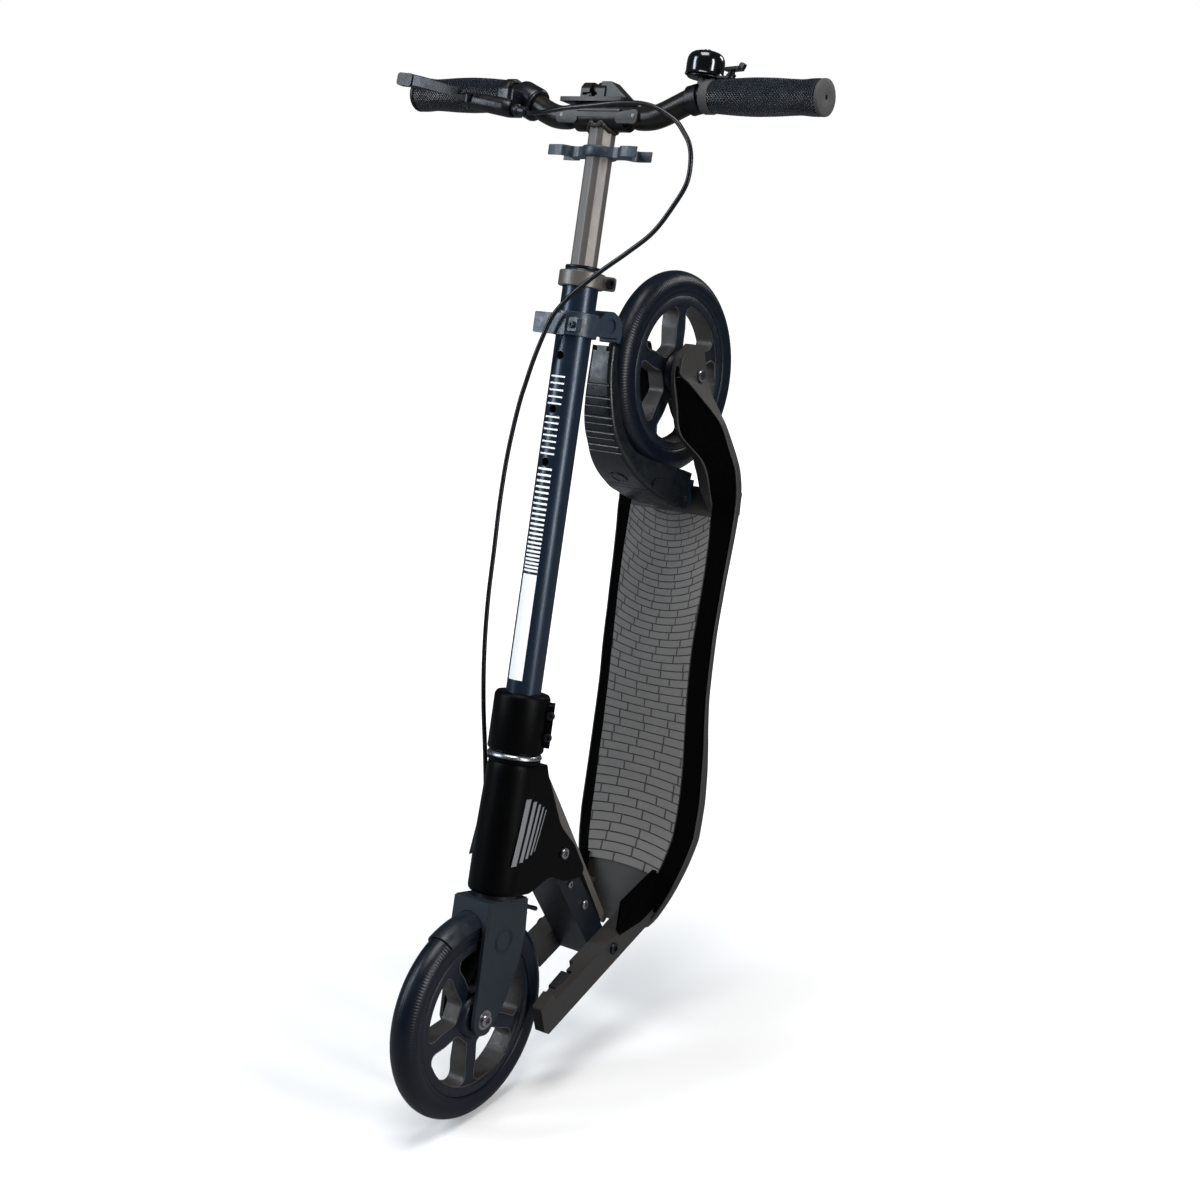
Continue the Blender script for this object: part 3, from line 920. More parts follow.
    piece("height_button_dome", lathe([[0, 0], [3.4, 0], [3.4, 4.6], [3.0, 5.6], [2.0, 6.4], [0, 6.7]], (0, 8.2, BUTTON_Z), (0, 1, 0), 40), chrome, "height_button", "height_button", angle=50)


build_stem()


# ---------------------------------------------------------------- handlebar
def bar_path(q):
    p = [[BAR_PIVOT_X - 6, BAR_Z], [50, BAR_Z], [58, BAR_Z + 1.2], [68, BAR_Z + 4.6], [81, BAR_Z + 10.6], [92, BAR_Z + 15.6], [101, BAR_Z + 18.7], [GRIP_X0, GRIP_Z - 0.1], [118, GRIP_Z], [GRIP_X1 - 7, GRIP_Z]]
    return [[q * a, 0, b] for a, b in p]


def build_bar(q):
    grp, nm = ("left_bar", "left") if q > 0 else ("right_bar", "right")
    b = tube(catmull(bar_path(q), 90), BAR_R, 56, up=(0, 1, 0))
    ball = lathe([[0, -BAR_R]] + [[BAR_R * math.cos(math.radians(t)), BAR_R * math.sin(math.radians(t))] for t in range(-80, 90, 10)] + [[0, BAR_R]], (q * BAR_PIVOT_X, 0, BAR_Z), (0, 0, 1), 56)
    b = csg(b, ("-", box(min(0, q * BAR_PIVOT_X), max(0, q * BAR_PIVOT_X), -20, 20, BAR_Z - 20, BAR_Z + 20)), ("+", ball), ("-", rod([q * BAR_PIVOT_X, -20, BAR_Z], [q * BAR_PIVOT_X, 20, BAR_Z], 2.3)))
    piece(f"{nm}_bar_bent_tube", b, bar_paint, grp, f"{nm}_bar_tube", angle=45)
    L, at, D = GRIP_X1 - GRIP_X0, (q * GRIP_X0, 0, GRIP_Z), (q, 0, 0)
    waist = [[9.4, 14.5], [12, 14.7], [20, 15.35], [38, 16.4], [54, 16.85], [72, 16.5], [90, 15.6], [100, 15.25], [L - 12, 16.1], [L - 7, 16.2], [L - 4.9, 16.0], [L - 4.4, 15.4]]
    prof = [[BAR_R + 0.9, 9.4]] + [[smooth(waist, d), d] for d in np.linspace(9.6, L - 4.5, 70)] + [[BAR_R + 0.9, L - 4.5]]
    piece(f"{nm}_grip_knurled", lathe(prof, at, D, 96), grip, grp, f"{nm}_grip", angle=40)
    flange = lathe([[BAR_R + 0.9, 0], [14.4, 0], [15.2, 0.4], [15.6, 1.1], [15.6, 8.4], [15.2, 9.1], [14.2, 9.5], [BAR_R + 0.9, 9.5]], at, D, 96)
    piece(f"{nm}_grip_flange", flange, cap_rubber if q > 0 else moulded_black, grp, (), angle=50)
    cap = lathe([[2.2, L - 4], [16.0, L - 4], [16.2, L - 3.6], [16.2, L - 1.2], [15.9, L - 0.5], [15.2, L - 0.05], [2.8, L - 0.05], [2.2, L - 0.5]], at, D, 96)
    piece(f"{nm}_end_cap_moulded", cap, cap_rubber if q > 0 else moulded_black, grp, f"{nm}_end_cap", angle=50)


build_bar(1)
build_bar(-1)


def build_bell():
    bx, bz = 99.5, 872.4
    up = (0, 0, 1)
    base = lathe([[BAR_R + 0.3, -5.5], [13.2, -5.5], [13.6, -5.1], [13.6, 5.1], [13.2, 5.5], [BAR_R + 0.3, 5.5]], (bx, 0, bz), (0.97, 0, 0.24), 80)
    plate = lathe([[0, bz + 18.6], [14.6, bz + 18.6], [15.3, bz + 19.0], [15.4, bz + 19.5], [15.3, bz + 20.1], [14.9, bz + 20.4], [0, bz + 20.4]], (bx + 4.5, 0, 0), up, 80)
    base = csg(base, ("+", rbox(bx + 0.5, bx + 8.9, -5, 5, bz + 11.2, bz + 19, 2, "z")), ("+", plate), ("+", ext("z", rounded([[bx + 14, -5, 2], [bx + 36.5, -4.5, 4], [bx + 36.5, 4.5, 4], [bx + 14, 5, 2]], 0, 8), bz + 18.6, bz + 20.4)),
               ("+", rod([bx + 4.5, 0, bz + 20], [bx + 4.5, 0, bz + 43], 1.9)), ("-", tube(catmull(bar_path(1), 60), BAR_R + 0.5, 48, up=(0, 1, 0))), ("-", rod([bx + 33, 0, bz + 10], [bx + 33, 0, bz + 24], 1.7)))
    piece("bell_base_moulded", base, moulded_black, "left_bar", "bell_base", bevel=0.3, angle=40)
    cap = lathe([[0, bz + 42.7], [3.5, bz + 42.7], [3.9, bz + 43.2], [3.7, bz + 43.8], [2.6, bz + 44.35], [0, bz + 44.55]], (bx + 4.5, 0, 0), up, 40)
    piece("bell_cap_nut", cap, chrome, "left_bar", (), angle=60)
    out = [[2.2, 42.4], [7, 42.35], [10, 42.0], [12.4, 41.2], [14.4, 39.8], [15.8, 38.0], [16.7, 35.8], [17.1, 33.2], [17.2, 30.5], [17.2, 24], [17.4, 22.4], [17.85, 21.2], [17.7, 20.95], [16.4, 20.95], [16.1, 22], [15.9, 31], [14.9, 35.2], [12.3, 38.6], [8, 40.6], [2.2, 41.2]]
    prof = []
    for i in range(len(out) - 1):
        (a, b), (c, d) = out[i], out[i + 1]
        prof.append([a, bz + b])
    prof.append([out[-1][0], bz + out[-1][1]])
    piece("bell_dome_spun", lathe(prof, (bx + 4.5, 0, 0), up, 112), gloss, "left_bar", "bell_dome", angle=50)
    st = lathe([[a, bz + b] for a, b in ((0, 20.7), (4.2, 20.7), (4.4, 21.0), (4.4, 22), (3.2, 23.2), (3.2, 26.4), (0, 26.4))], (bx + 33, 0, 0), up, 40)
    st = csg(st, ("+", rod([bx + 33, 0, bz + 18.9], [bx + 33, 0, bz + 21], 1.4)), ("+", ext("z", rounded([[bx + 26, -3, 2], [bx + 33, -5, 3], [bx + 44, -8, 4], [bx + 48, -5, 4], [bx + 46, 1, 4], [bx + 35, 4, 4], [bx + 26, 3, 2]], 0, 7), bz + 25.4, bz + 28.2)), ("+", ext("y", rounded([[bx + 43, bz + 26], [bx + 48, bz + 26, 1], [bx + 50, bz + 31, 2], [bx + 45, bz + 31.5, 2]], 0, 5), -7, -2)))
    piece("bell_striker_lever", st, moulded_black, "bell_lever", "bell_striker", bevel=0.35, angle=40)


build_bell()


def build_brake_lever():
    p = lathe([[8, -1], [13.6, -1], [14.6, -0.7], [15.8, 0.8], [16.2, 2.2], [16.2, 20.2], [15.6, 22.2], [14.4, 24], [8, 24]], (-81, 0, BAR_Z + 10.6), (-0.93, 0, 0.38), 96)

    def body(x, y, z, a, b):
        return [(x, y + a * math.cos(2 * math.pi * i / 48), z + b * math.sin(2 * math.pi * i / 48)) for i in range(48)]

    keys = np.array([[-141, -38.4, 862.4, 5.6, 6], [-139.6, -38.3, 862.3, 6.3, 6.8], [-134, -38, 861.8, 6.9, 7.5], [-123, -36.2, 860.4, 7.5, 8.1], [-112, -34.5, 859, 8, 8.6], [-101, -32.6, 857.5, 8.3, 8.7], [-92, -31, 856.2, 8.4, 8.6], [-88, -30.3, 855.8, 7.9, 8.1], [-86, -30, 855.6, 7, 7.2]])
    shell = loft([body(*[float(np.interp(x, keys[:, 0], keys[:, k])) if k else x for k in range(5)]) for x in sorted(set(list(keys[:, 0]) + list(np.linspace(-138, -89, 20))))])
    p = csg(p, ("+", shell), ("+", rbox(-110, -89, -32, -8, 852, 874, 5, "z")), ("-", tube(catmull(bar_path(-1), 60), BAR_R + 0.5, 48, up=(0, 1, 0))), ("-", rod([-108.6, 0, GRIP_Z], [-150, 0, GRIP_Z - 0.8], 16.4, 16.4, 64)), ("-", box(-160, -126, -60, -20, 858.4, 866.0)), ("-", rod([-134, -38.5, 840], [-134, -38.5, 885], 2.3)))
    piece("brake_lever_housing", p, lever_black, "right_bar", "brake_lever_body", bevel=0.6, angle=42)
    adj = lathe([[0, -1], [5.2, -1], [5.4, -0.7], [5.4, 3.7], [5.1, 4], [3.8, 4.6], [3.8, 5.4], [4.6, 6], [4.6, 13], [3.2, 14.6], [0, 14.6]], (-83.2, -29.9, 855.1), (0.985, 0, -0.15), 48)
    piece("barrel_adjuster_turned", adj, dark_bolt, "right_bar", "barrel_adjuster", bevel=0.2, angle=40)
    key = np.array([[-134, -38.5, 862.2, 4.2, 3.2], [-143, -41, 865, 4.8, 3], [-152, -43.6, 868.4, 5.2, 2.6], [-170, -47, 872.4, 5.4, 2.4], [-190, -50, 876, 5.6, 2.4], [-200, -51, 877.4, 5.8, 2.6]])
    rings = []
    for x in np.linspace(-134, -200, 40):
        y, z, h, t = (smooth([[-k[0], k[c]] for k in key], -x) for c in (1, 2, 3, 4))
        ring = rounded([[-t, -h, 1.0], [t, -h, 1.4], [t, h, 1.4], [-t, h, 1.0]], 0, 4)
        rings.append([(x, y + a, z + b) for a, b in ring])
    blade = loft(rings)
    blade = csg(blade, ("-", box(-145, -120, -60, -20, 865.7, 890)), ("-", box(-145, -120, -60, -20, 840, 858.7)), ("+", lathe([[0, 858.7], [5.2, 858.7], [5.2, 865.7], [0, 865.7]], (-134, -38.5, 0), (0, 0, 1), 40)), ("+", rod([-134, -38.5, 853.4], [-134, -38.5, 870.4], 2.0)), ("+", ext("y", rounded([[-216, 872.2, 3], [-197, 870.8, 3], [-196, 883, 3], [-215, 884.2, 3]], 0, 8), -54.5, -47.5)))
    piece("brake_blade_pressed", blade, lever_black, "brake_lever", "brake_lever_blade", bevel=0.7, angle=40, seg=3)


build_brake_lever()

# ---------------------------------------------------------------- brake cable
CABLE = [[-68.2, -29.9, 852.8], [-60, -31.5, 851.8], [-45, -36, 851.6], [-18, -40, 854.6], [18, -41, 857.5], [45, -40, 860], [66, -38, 860], [80, -36, 857.5], [91, -34, 853], [104, -32, 845.5], [111, -31, 838], [119, -30, 827], [123, -30, 814], [122.5, -30, 793], [111, -30, 771], [94, -30, 748], [69, -30, 728.5], [44, -31, 710.5], [12, -31, 685], [-5, -30, 666], [-13, -30, 646], [-20, -30, 624], [-26, -28.5, 604], [-31, -27.5, 585], [-38, -26, 536], [-41, -24, 490], [-41.5, -22, 442], [-42, -20, 394], [-41, -16, 345], [-39, -9, 296], [-35, 0, 244], [-32.5, 7, 200], [-33.6, 13, 160], [-34.4, 22, 133], [-31, 36.5, 111], [-21, 51, 98], [-8, 64, 94.5], [3, 64, 94.5], [8.6, 56, 97.5], [8.5, 41.2, 101]]
line = catmull(CABLE, 420)


me = raw_mesh(tube(line, 2.2, 20), 0.001)
me.materials.append(sheath)
me.shade_smooth()
me.set_sharp_from_angle(angle=math.radians(50))
cable = bpy.data.objects.new("brake_cable_smooth", me)
scene.collection.objects.link(cable)
cable.matrix_world = LOCAL
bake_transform(cable)
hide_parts("brake_cable")

# ---------------------------------------------------------------- deck
TOP = [[66, 201.5], [72, 202.5], [95, 205.5], [115, 209], [140, 213], [170, 217], [200, 217.5], [230, 216], [260, 213.8], [290, 210.7], [320, 207.9], [350, 205.5], [380, 204.3], [410, 204], [440, 204], [470, 204], [500, 203], [540, 203]]
HT = [[66, 26], [84, 32], [100, 38], [122, 44], [140, 48.5], [170, 52.8], [200, 53.4], [230, 53.2], [260, 51.8], [290, 50.6], [320, 49.6], [350, 49.4], [380, 49.9], [410, 51], [440, 51.6], [470, 51.2], [500, 50], [540, 50]]
HR = [[66, 40], [72, 44.5], [84, 50.5], [99, 57], [122, 64.5], [140, 69.2], [155, 72], [170, 74], [200, 74.3], [230, 73.3], [260, 72], [290, 70.1], [320, 69], [350, 69.2], [380, 69.2], [410, 70], [440, 70.9], [470, 72.2], [500, 73.3], [540, 73]]
FALL = [[66, 9], [84, 10.5], [122, 11], [540, 11]]
WALL = [[66, 8], [84, 9.5], [200, 10], [230, 10], [260, 8], [290, 6.5], [320, 5.6], [400, 5.6], [470, 6.4], [520, 8], [540, 8]]
T_IN = [[505, 51], [522, 50], [538, 50], [552, 47.5], [566, 40], [578, 33], [593, 30.5], [667, 30.5]]
T_WALL = [[505, 4], [518, 9], [530, 12], [545, 12], [557, 9], [568, 5], [580, 4], [667, 4]]
V_IN = [[505, 205], [516, 200], [538, 187.5], [557, 175], [566, 163.5], [572, 156], [578, 151.5], [600, 144], [636, 131], [650, 133], [667, 148]]
X_OUT = [[505, 73.3], [520, 73], [547, 70], [569, 64], [593, 56.5], [603, 51.5], [614, 46], [628, 40], [636, 37], [650, 36], [667, 35.5]]
V_OT = [[505, 213.8], [520, 213], [547, 209], [569, 200], [593, 189], [603, 180], [614, 166], [628, 146], [636, 132], [650, 133.5], [667, 148.5]]
V_OB = [[505, 223], [534, 221], [560, 215], [586, 203], [608, 193], [622, 186], [657, 174.5], [664, 171], [667, 168]]


def proud(z):
    return 0.35 + 0.6 * min(1, max(0, 1.6 * (1 - abs(z - 516) / 26)))


def fade(z):
    return min(1, max(0, (smooth(X_OUT, z) - smooth(T_IN, z) - 5) / 8))


def skin(x0, y0, x1, y1, thick=1.4, lift=0.35):
    m = (y1 - y0) / (x1 - x0)
    e = lift * math.hypot(1, m)
    y = lambda x: y0 + (x - x0) * m - e
    a, b = x0 + 0.3, x1 - 0.4
    return [(a, y(a) + thick), (a, y(a)), (b, y(b)), (b, y(b) + thick)]


def build_deck():
    zs = list(np.linspace(66, 528, 78))

    def ring(z):
        y0, a, b, d, w = smooth(TOP, z), smooth(HT, z), smooth(HR, z), smooth(FALL, z), smooth(WALL, z)
        half = [(a - 0.6, y0 + 1.95), (a + 0.6, y0 + 2.6), (b - 2.0, y0 + d + 1.9), (b - 1.9, y0 + d + 0.5), (b - 1.5, y0 + d), (b - 0.5, y0 + d + 0.1), (b, y0 + d + 0.7), (b, y0 + d + w - 0.6), (b - 0.6, y0 + d + w), (b - 3, y0 + d + w), (b - 3.6, y0 + d + 5.2), (a - 3, y0 + 7)]
        return [(x, y, z) for x, y in [(0, y0 + 1.9), *half, (0, y0 + 6.6), *[(-p, q) for p, q in reversed(half)]]]

    pan = loft([ring(z) for z in zs])
    zr = [80, 110, 140, 170, 200, 230, 260, 290, 320, 350, 380, 415, 450, 490, 526]
    rib = [(smooth(TOP, z) + 5, z) for z in zr] + [(smooth(TOP, z) + 14, z) for z in reversed(zr)]
    ribs = [ext("x", rib, 14, 18), ext("x", rib, -18, -14)]
    for z in (190, 300, 410):
        ribs.append(box(-smooth(HT, z), smooth(HT, z), smooth(TOP, z) + 5.4, smooth(TOP, z) + 12.5, z - 2, z + 2))
    nose = ext("z", rounded([[-36, 205, 2], [36, 205, 2], [36, 214, 2], [-36, 214, 2]], 0, 6), 68, 78)

    def arm_ring(z):
        ti, vi, xo, vo, vb, k = smooth(T_IN, z), smooth(V_IN, z), smooth(X_OUT, z), smooth(V_OT, z), smooth(V_OB, z), fade(z)
        xi = min(ti - smooth(T_WALL, z), 60)
        return [(x, y, z) for x, y in [(xi, vb - 4), (xi, vi), (ti, vi), (ti + 0.6, vi + 2.3 * k), (xo - 1.9, vo + 1.9 * k), (xo - 1.5, vo + 0.05), (xo - 0.4, vo + 0.1), (xo, vo + 0.7), (xo, vb - 0.5), (xo - 0.6, vb), (xo - 3, vb), (xi + 3, vb)]]

    arm_l = loft([arm_ring(z) for z in np.linspace(505, 667, 64)])
    room = lathe([[0, -26.6], [106.5, -26.6], [106.5, 26.6], [0, 26.6]], (0, REAR_Y, REAR_Z), (1, 0, 0), 128)
    axle = rod([-60, REAR_Y, REAR_Z], [60, REAR_Y, REAR_Z], 4.4)
    seat = [("-", rod([q * 37.1, REAR_Y, REAR_Z], [q * 60, REAR_Y, REAR_Z], 7.8)) for q in (1, -1)]
    boss = [("+", lathe([[4.4, 13.8], [6.4, 13.8], [8.4, 15], [8.4, 27.2], [4.4, 27.2]], (0, REAR_Y, REAR_Z), (q, 0, 0), 48)) for q in (1, -1)]
    body = csg(pan, *[("+", r) for r in ribs], ("+", nose), ("+", arm_l), ("+", mirror(arm_l)), ("-", axle), ("-", room), *boss, *seat)
    piece("deck_pan_formed", body, deck_paint, "deck", "deck", bevel=0.35, angle=32)
    prong = rounded([[59, -20, 2], [221, 78.5, 12], [228, 112, 4], [214, 106, 3], [158, 69.5, 14], [76, 22, 3], [62.5, 13, 3], [57, 21.5, 2], [40.5, 7, 2], [52, -17.6, 2]], 0, 6)
    broad = [(66, -30), (260, 60), (260, 140), (180, 140), (66, 40)]
    for q, nm in ((1, "left"), (-1, "right")):
        lim = (33, 45) if q > 0 else (-45, -33)
        lim2 = (28, 40) if q > 0 else (-40, -28)
        lim3 = (22.6, 29) if q > 0 else (-29, -22.6)
        thick = csg(ext("x", prong, *lim3), ("&", lathe([[0, 22.6], [44, 22.6], [44, 29], [0, 29]], (0, FOLD_Y, FOLD_Z), (q, 0, 0), 80)))
        wide = csg(ext("x", prong, *lim2), ("&", ext("x", broad, *lim2)))
        # the underside is open, so that the prong reads as a formed channel with a side wall
        hollow = rounded([[63, -13.5, 3], [214, 78, 6], [206, 96, 3], [158, 66, 6], [79, 17.5, 3], [66, 8.5, 3], [57, 10, 2], [50, -6, 2]], 0, 4)
        cutter = ext("x", hollow, 20, 41.5) if q > 0 else ext("x", hollow, -41.5, -20)
        a = csg(ext("x", prong, *lim), ("+", wide), ("-", ext("x", [(75.9, 11.6), (95.6, 25.1), (98.5, 32), (92.2, 44), (72.0, 31), (72.6, 21.2)], *((20, 35.2) if q > 0 else (-35.2, -20)))),
                ("+", thick), ("-", rod([-60, FOLD_Y, FOLD_Z], [60, FOLD_Y, FOLD_Z], 5.4)))
        piece(f"prong_{nm}_plate", a, deck_paint, "deck", (), bevel=0.8, angle=35, seg=3)
    # grip sheet
    rings = []
    for z in np.linspace(100, 499, 90):
        y0, a = smooth(TOP, z), smooth(HT, z) - 0.25
        top = [(x, y0 + 0.7 * (x / a) ** 2, z) for x in np.linspace(-a, a, 25)]
        rings.append([(top[0][0], top[0][1] + 1.3, z)] + [(p[0] * 0.994 if i in (0, 24) else p[0], p[1] + (0.35 if i in (0, 24) else 0), z) for i, p in enumerate(top)] + [(top[-1][0], top[-1][1] + 1.3, z)])
    cutp = [(x, 125.5 - 0.002 * x * x) for x in np.linspace(-60, 60, 41)] + [(60, 520), (-60, 520)]
    sheet = csg(loft(rings), ("&", ext("y", cutp, 190, 230)))
    piece("deck_tread_sheet", sheet, tread, "deck", "deck_grip_sheet", angle=30)
    # black side strips

    def strip_ring(z):
        y0, a, b, d = smooth(TOP, z), smooth(HT, z), smooth(HR, z), smooth(FALL, z)
        return [(x, y, z) for x, y in skin(a + 0.6, y0 + 2.6, b - 2, y0 + d + 1.9, lift=proud(z))]

    def arm_strip(z):
        ti, vi, xo, vo, k = smooth(T_IN, z), smooth(V_IN, z), smooth(X_OUT, z), smooth(V_OT, z), fade(z)
        return [(x, y, z) for x, y in skin(ti + 0.6, vi + 2.3 * k, xo - 1.9, vo + 1.9 * k, lift=proud(z))]

    gusset = ext("x", rounded([[155, 71], [155, 101.3, 2], [190.7, 120.6, 2], [207.5, 129.5, 3], [211.5, 127.5, 2], [209.9, 115], [209.9, 104.8], [159, 71.2]], 0, 4), 41.7, 44.9)
    band = loft([strip_ring(z) for z in np.linspace(84, 500, 70)] + [arm_strip(z) for z in np.linspace(512, 643, 48)])
    band = csg(band, ("-", ext("x", [(150, 60), (222, 78), (230, 113), (214, 106.8), (158, 70.2)], 20, 45.5)), ("+", gusset), ("+", ext("x", rounded([[155, 72], [157, 66.2, 1], [193, 76, 3], [219.5, 90.5, 3], [227, 112, 2], [216, 127, 2], [205, 122, 1]], 0, 4), 44.8, 45.4)))
    piece("side_strip_left_skin", band, strip, "deck", "deck_side_strip_left", angle=40)
    piece("side_strip_right_skin", mirror(band), strip, "deck", "deck_side_strip_right", angle=40)
    for q, nm in ((1, "left"), (-1, "right")):
        x0 = 25.8 if q > 0 else -34.8
        stop = ext("x", rounded([[76, 12.5], [95, 25.5, 1], [97.5, 31.5, 3], [92, 34, 2], [73.5, 21.5, 2]], 0.8, 5), x0, x0 + 9)
        piece(f"rubber_stop_{nm}", stop, stop_rubber, "deck", f"prong_stop_{nm}", bevel=0.5)
    piece("fold_pivot_hardware", through_bolt(45.4, FOLD_Y, FOLD_Z, 5, 6.0, 2.8, 7.4, 4.2), dark_bolt, "deck", "fold_pivot_bolt", angle=30)
    piece("rear_axle_hardware", through_bolt(37.3, REAR_Y, REAR_Z, 4, 6.6, 3.2, 7, 4.5), chrome, "deck", "rear_axle_bolt", angle=30)


build_deck()


# ---------------------------------------------------------------- rear fender brake
def build_fender():
    PY, PZ = 186, 514
    OUT = np.array([[46.6, 649.6, 13.4, 9], [46.8, 632, 13.8, 10], [47.6, 618, 14.6, 12], [50.4, 600, 16.4, 14], [54.6, 583, 18, 15], [61, 568, 19.2, 15], [70, 556, 20.5, 15], [83, 542, 23.5, 16], [98, 530.8, 26, 22], [113, 522.6, 27.6, 27], [129, 516, 28.6, 32], [150, 509.6, 29, 36], [170, 505.2, 29, 38], [186, 502.9, 29, 38]])
    pts = catmull([[p[0], p[1], p[2]] for p in OUT], 72)
    s0 = np.concatenate([[0], np.cumsum(np.linalg.norm(np.diff(OUT[:, :2], axis=0), axis=1))])
    s1 = np.concatenate([[0], np.cumsum(np.linalg.norm(np.diff(pts[:, :2], axis=0), axis=1))])
    secs = []
    for i, (y, z, w) in enumerate(pts):
        a, b = pts[max(0, i - 1)], pts[min(len(pts) - 1, i + 1)]
        t = (b - a)[:2] / np.linalg.norm((b - a)[:2])
        ny, nz = -t[1], t[0]
        deep = float(np.interp(s1[i] / s1[-1] * s0[-1], s0, OUT[:, 3]))
        sec = rounded([[-w, deep], [-w, 0, 4.6], [w, 0, 4.6], [w, deep], [w - 2.8, deep], [w - 2.8, 3.6, 3], [-w + 2.8, 3.6, 3], [-w + 2.8, deep]], 0, 6)
        secs.append([(x, y + ny * d, z + nz * d) for x, d in sec])
    f = loft(secs)
    ops = []
    for y, z, rr in ((48.0, 612.5, 1.3), (50.2, 600, 1.9), (52.2, 592, 1.2), (54.9, 582, 1.9), (57.5, 575.5, 1.2), (61, 567.6, 1.9), (64.8, 562, 1.2), (70, 555.6, 1.9), (75.5, 550, 1.3), (118, 519.9, 1.0), (124, 517.7, 1.0)):
        ops.append(("-", rod([-40, y - 0.2, z - 0.2], [40, y - 0.2, z - 0.2], rr, rr, 16)))
    for a, b in ((8.0, 2.4),):
        oval = lathe([[0, -1.2], [8.0, -1.2], [8.0, 0.9], [7.5, 1.2], [5.9, 1.2], [5.5, 0.6], [0, 0.6]], (0, 0, 0), (0, 0, 1), 64)
        v = oval[0] * np.array([1.3, 1, 1])
        ops.append(("+", (place(v, (0, 105.5, 526.6), (0, -0.49, -0.87)), oval[1])))

    def at(rad, a):
        return [REAR_Y - rad * math.cos(math.radians(a)), REAR_Z - rad * math.sin(math.radians(a))]

    shoe = [at(105.3, 42 + 18 * i / 12) for i in range(13)] + [at(126, 60 - 18 * i / 12) for i in range(13)]
    ops.append(("+", ext("x", shoe, -10, 10)))
    for q in (1, -1):
        ops.append(("+", ext("x", rounded([[176, 505], [190, 505, 3], [192.6, 514, 6], [190, 522, 6], [180, 528, 5], [172, 520]], 0, 6), *((26.2, 29) if q > 0 else (-29, -26.2)))))
        e = []
        for i in range(40):
            a = 2 * math.pi * i / 40
            c, d = 27 * math.cos(a), 9 * math.sin(a)
            e.append((150 + c * 0.985 + d * 0.17, 521 - c * 0.17 + d * 0.985))
        ops.append(("+", ext("x", e, *((27.6, 30.4) if q > 0 else (-30.4, -27.6)))))
    ops.append(("-", rod([-40, PY, PZ], [40, PY, PZ], 3.3)))
    ops.append(("-", lathe([[0, -26], [105.2, -26], [105.2, 26], [0, 26]], (0, REAR_Y, REAR_Z), (1, 0, 0), 160)))
    ops += [("-", box(5.5, 10.4, 30, 80, 644.5, 660)), ("-", box(-10.4, -5.5, 30, 80, 644.5, 660))]
    piece("rear_fender_moulded", csg(f, *ops), fender_plastic, "fender", "rear_fender_brake", bevel=0.5, angle=38)
    b = ext("x", rounded([[202.4, 509.3, 0], [182, 509.3, 2], [178.4, 515, 4], [180, 524, 4], [189, 534, 4], [202.4, 534, 0]], 0, 6), -25.6, 25.6)
    b = csg(b, ("-", rod([-60, PY, PZ], [60, PY, PZ], 3.3)), ("-", lathe([[0, -16.5], [106.5, -16.5], [106.5, 16.5], [0, 16.5]], (0, REAR_Y, REAR_Z), (1, 0, 0), 128)))
    piece("fender_bracket_cast", b, navy, "deck", "fender_bracket", bevel=0.5)


build_fender()

# ---------------------------------------------------------------- floor, light
floor_mesh = bpy.data.meshes.new("floor")
floor_mesh.from_pydata([(-6, -6, -0.0004), (6, -6, -0.0004), (6, 6, -0.0004), (-6, 6, -0.0004)], [], [[0, 1, 2, 3]])
floor = bpy.data.objects.new("floor", floor_mesh)
scene.collection.objects.link(floor)
fl = Mat("floor_white", (0.93, 0.93, 0.93), 0.6, 0.0, 0.0, 0.2, vary=0.004, scale=3)
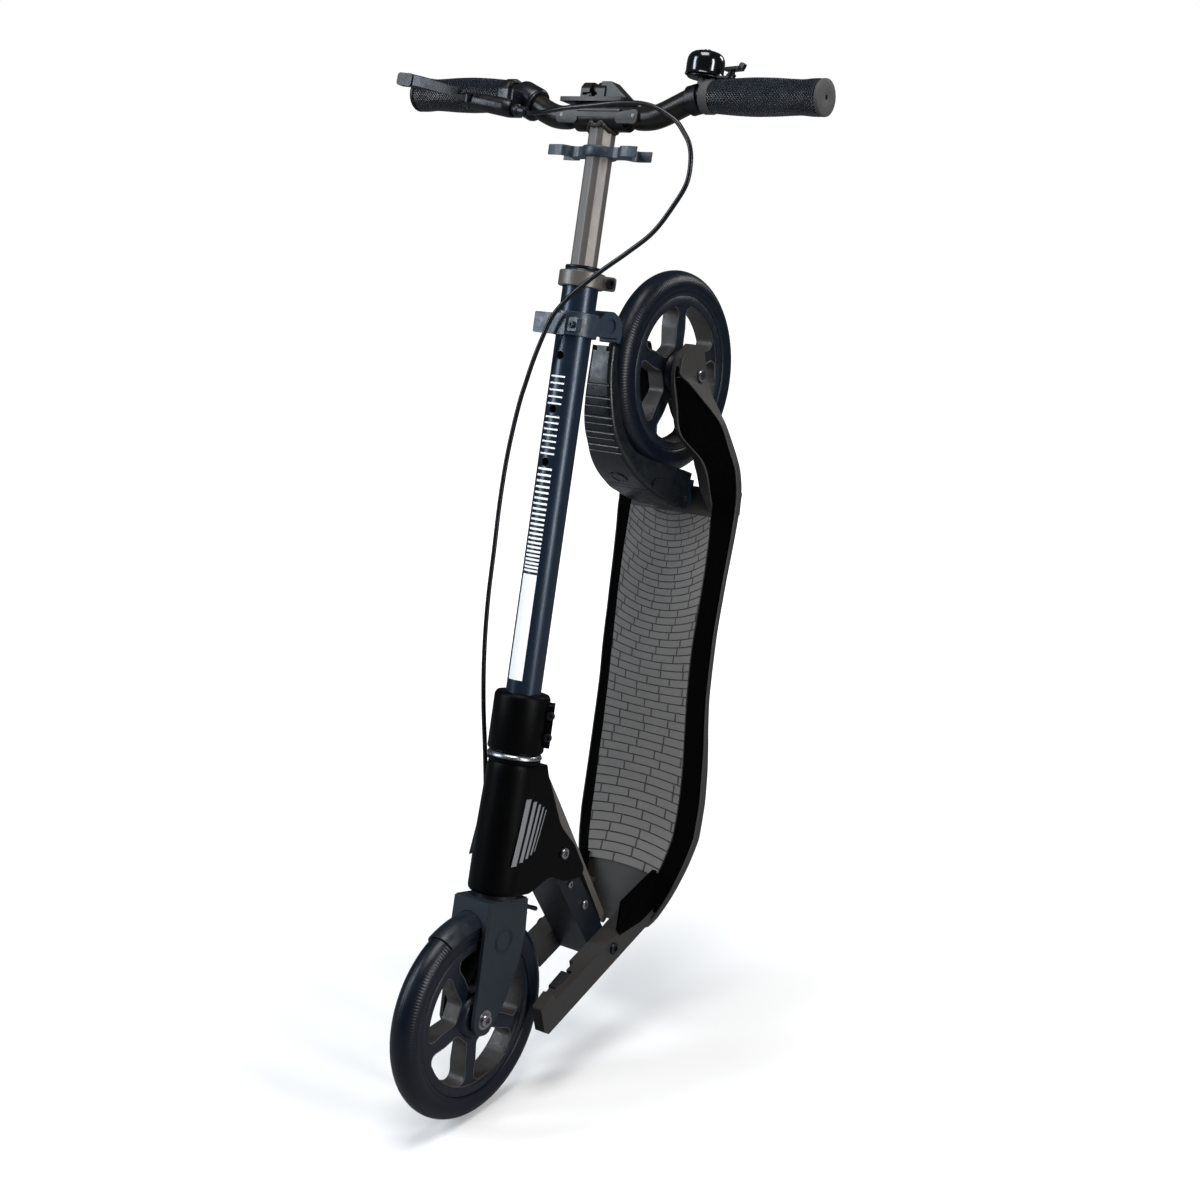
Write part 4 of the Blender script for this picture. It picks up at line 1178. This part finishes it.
# the sweep stays white to the lens however far the lamps fall off
gx, gy, gz = fl.xyz(fl.raw)
far = fl.math("SQRT", fl.math("ADD", fl.math("MULTIPLY", gx, gx), fl.math("MULTIPLY", gy, gy)))
lens_only = fl.node("ShaderNodeLightPath").outputs["Is Camera Ray"]
glow = fl.node("ShaderNodeEmission")
fl.link(fl.math("MULTIPLY", lens_only, fl.ramp(far, 0.14, 1.05, 0.28, 2.0)), glow.inputs["Strength"])
fl.link(fl.mix(lens_only, [0.30, 0.30, 0.31], [0.87, 0.86, 0.85]), fl.b.inputs["Base Color"])
total = fl.node("ShaderNodeAddShader")
fl.link(fl.b.outputs[0], total.inputs[0])
fl.link(glow.outputs[0], total.inputs[1])
fl.link(total.outputs[0], next(n for n in fl.t.nodes if n.type == "OUTPUT_MATERIAL").inputs["Surface"])
floor_mesh.materials.append(fl.m)

world = bpy.data.worlds.new("studio")
scene.world = world
world.use_nodes = True
wt = world.node_tree
bg = wt.nodes["Background"]
bg.inputs["Color"].default_value = (1, 1, 1, 1)
bg.inputs["Strength"].default_value = 1.0
dim = wt.nodes.new("ShaderNodeBackground")
dim.inputs["Color"].default_value = (0.86, 0.92, 1.0, 1)
dim.inputs["Strength"].default_value = 0.07
seen, both = wt.nodes.new("ShaderNodeLightPath"), wt.nodes.new("ShaderNodeMixShader")
wt.links.new(seen.outputs["Is Camera Ray"], both.inputs[0])
wt.links.new(dim.outputs[0], both.inputs[1])
wt.links.new(bg.outputs[0], both.inputs[2])
wt.links.new(both.outputs[0], wt.nodes["World Output"].inputs["Surface"])


def area(name, loc, target, size, size_y, power, colour=(1, 1, 1)):
    d = bpy.data.lights.new(name, "AREA")
    d.shape, d.size, d.size_y, d.energy, d.color = "RECTANGLE", size, size_y, power, colour
    o = bpy.data.objects.new(name, d)
    o.location = loc
    o.rotation_euler = (Vector(target) - Vector(loc)).to_track_quat("-Z", "Y").to_euler()
    scene.collection.objects.link(o)
    return o


mid = (0.0, 0.15, 0.5)
area("key_left", (-1.5, -1.6, 1.7), mid, 0.6, 1.8, 50, (0.80, 0.90, 1.0))
area("fill_right", (2.5, -0.1, 1.2), mid, 0.4, 1.8, 50, (0.95, 0.97, 1.0))
area("top", (0.3, -0.3, 3.0), mid, 1.3, 1.3, 52)
area("rim_back", (0.9, 2.4, 1.8), mid, 0.7, 0.7, 16)
scene.view_settings.view_transform = "Standard"
scene.view_settings.look = "None"
scene.view_settings.exposure = 0.0
scene.view_settings.gamma = 1.0
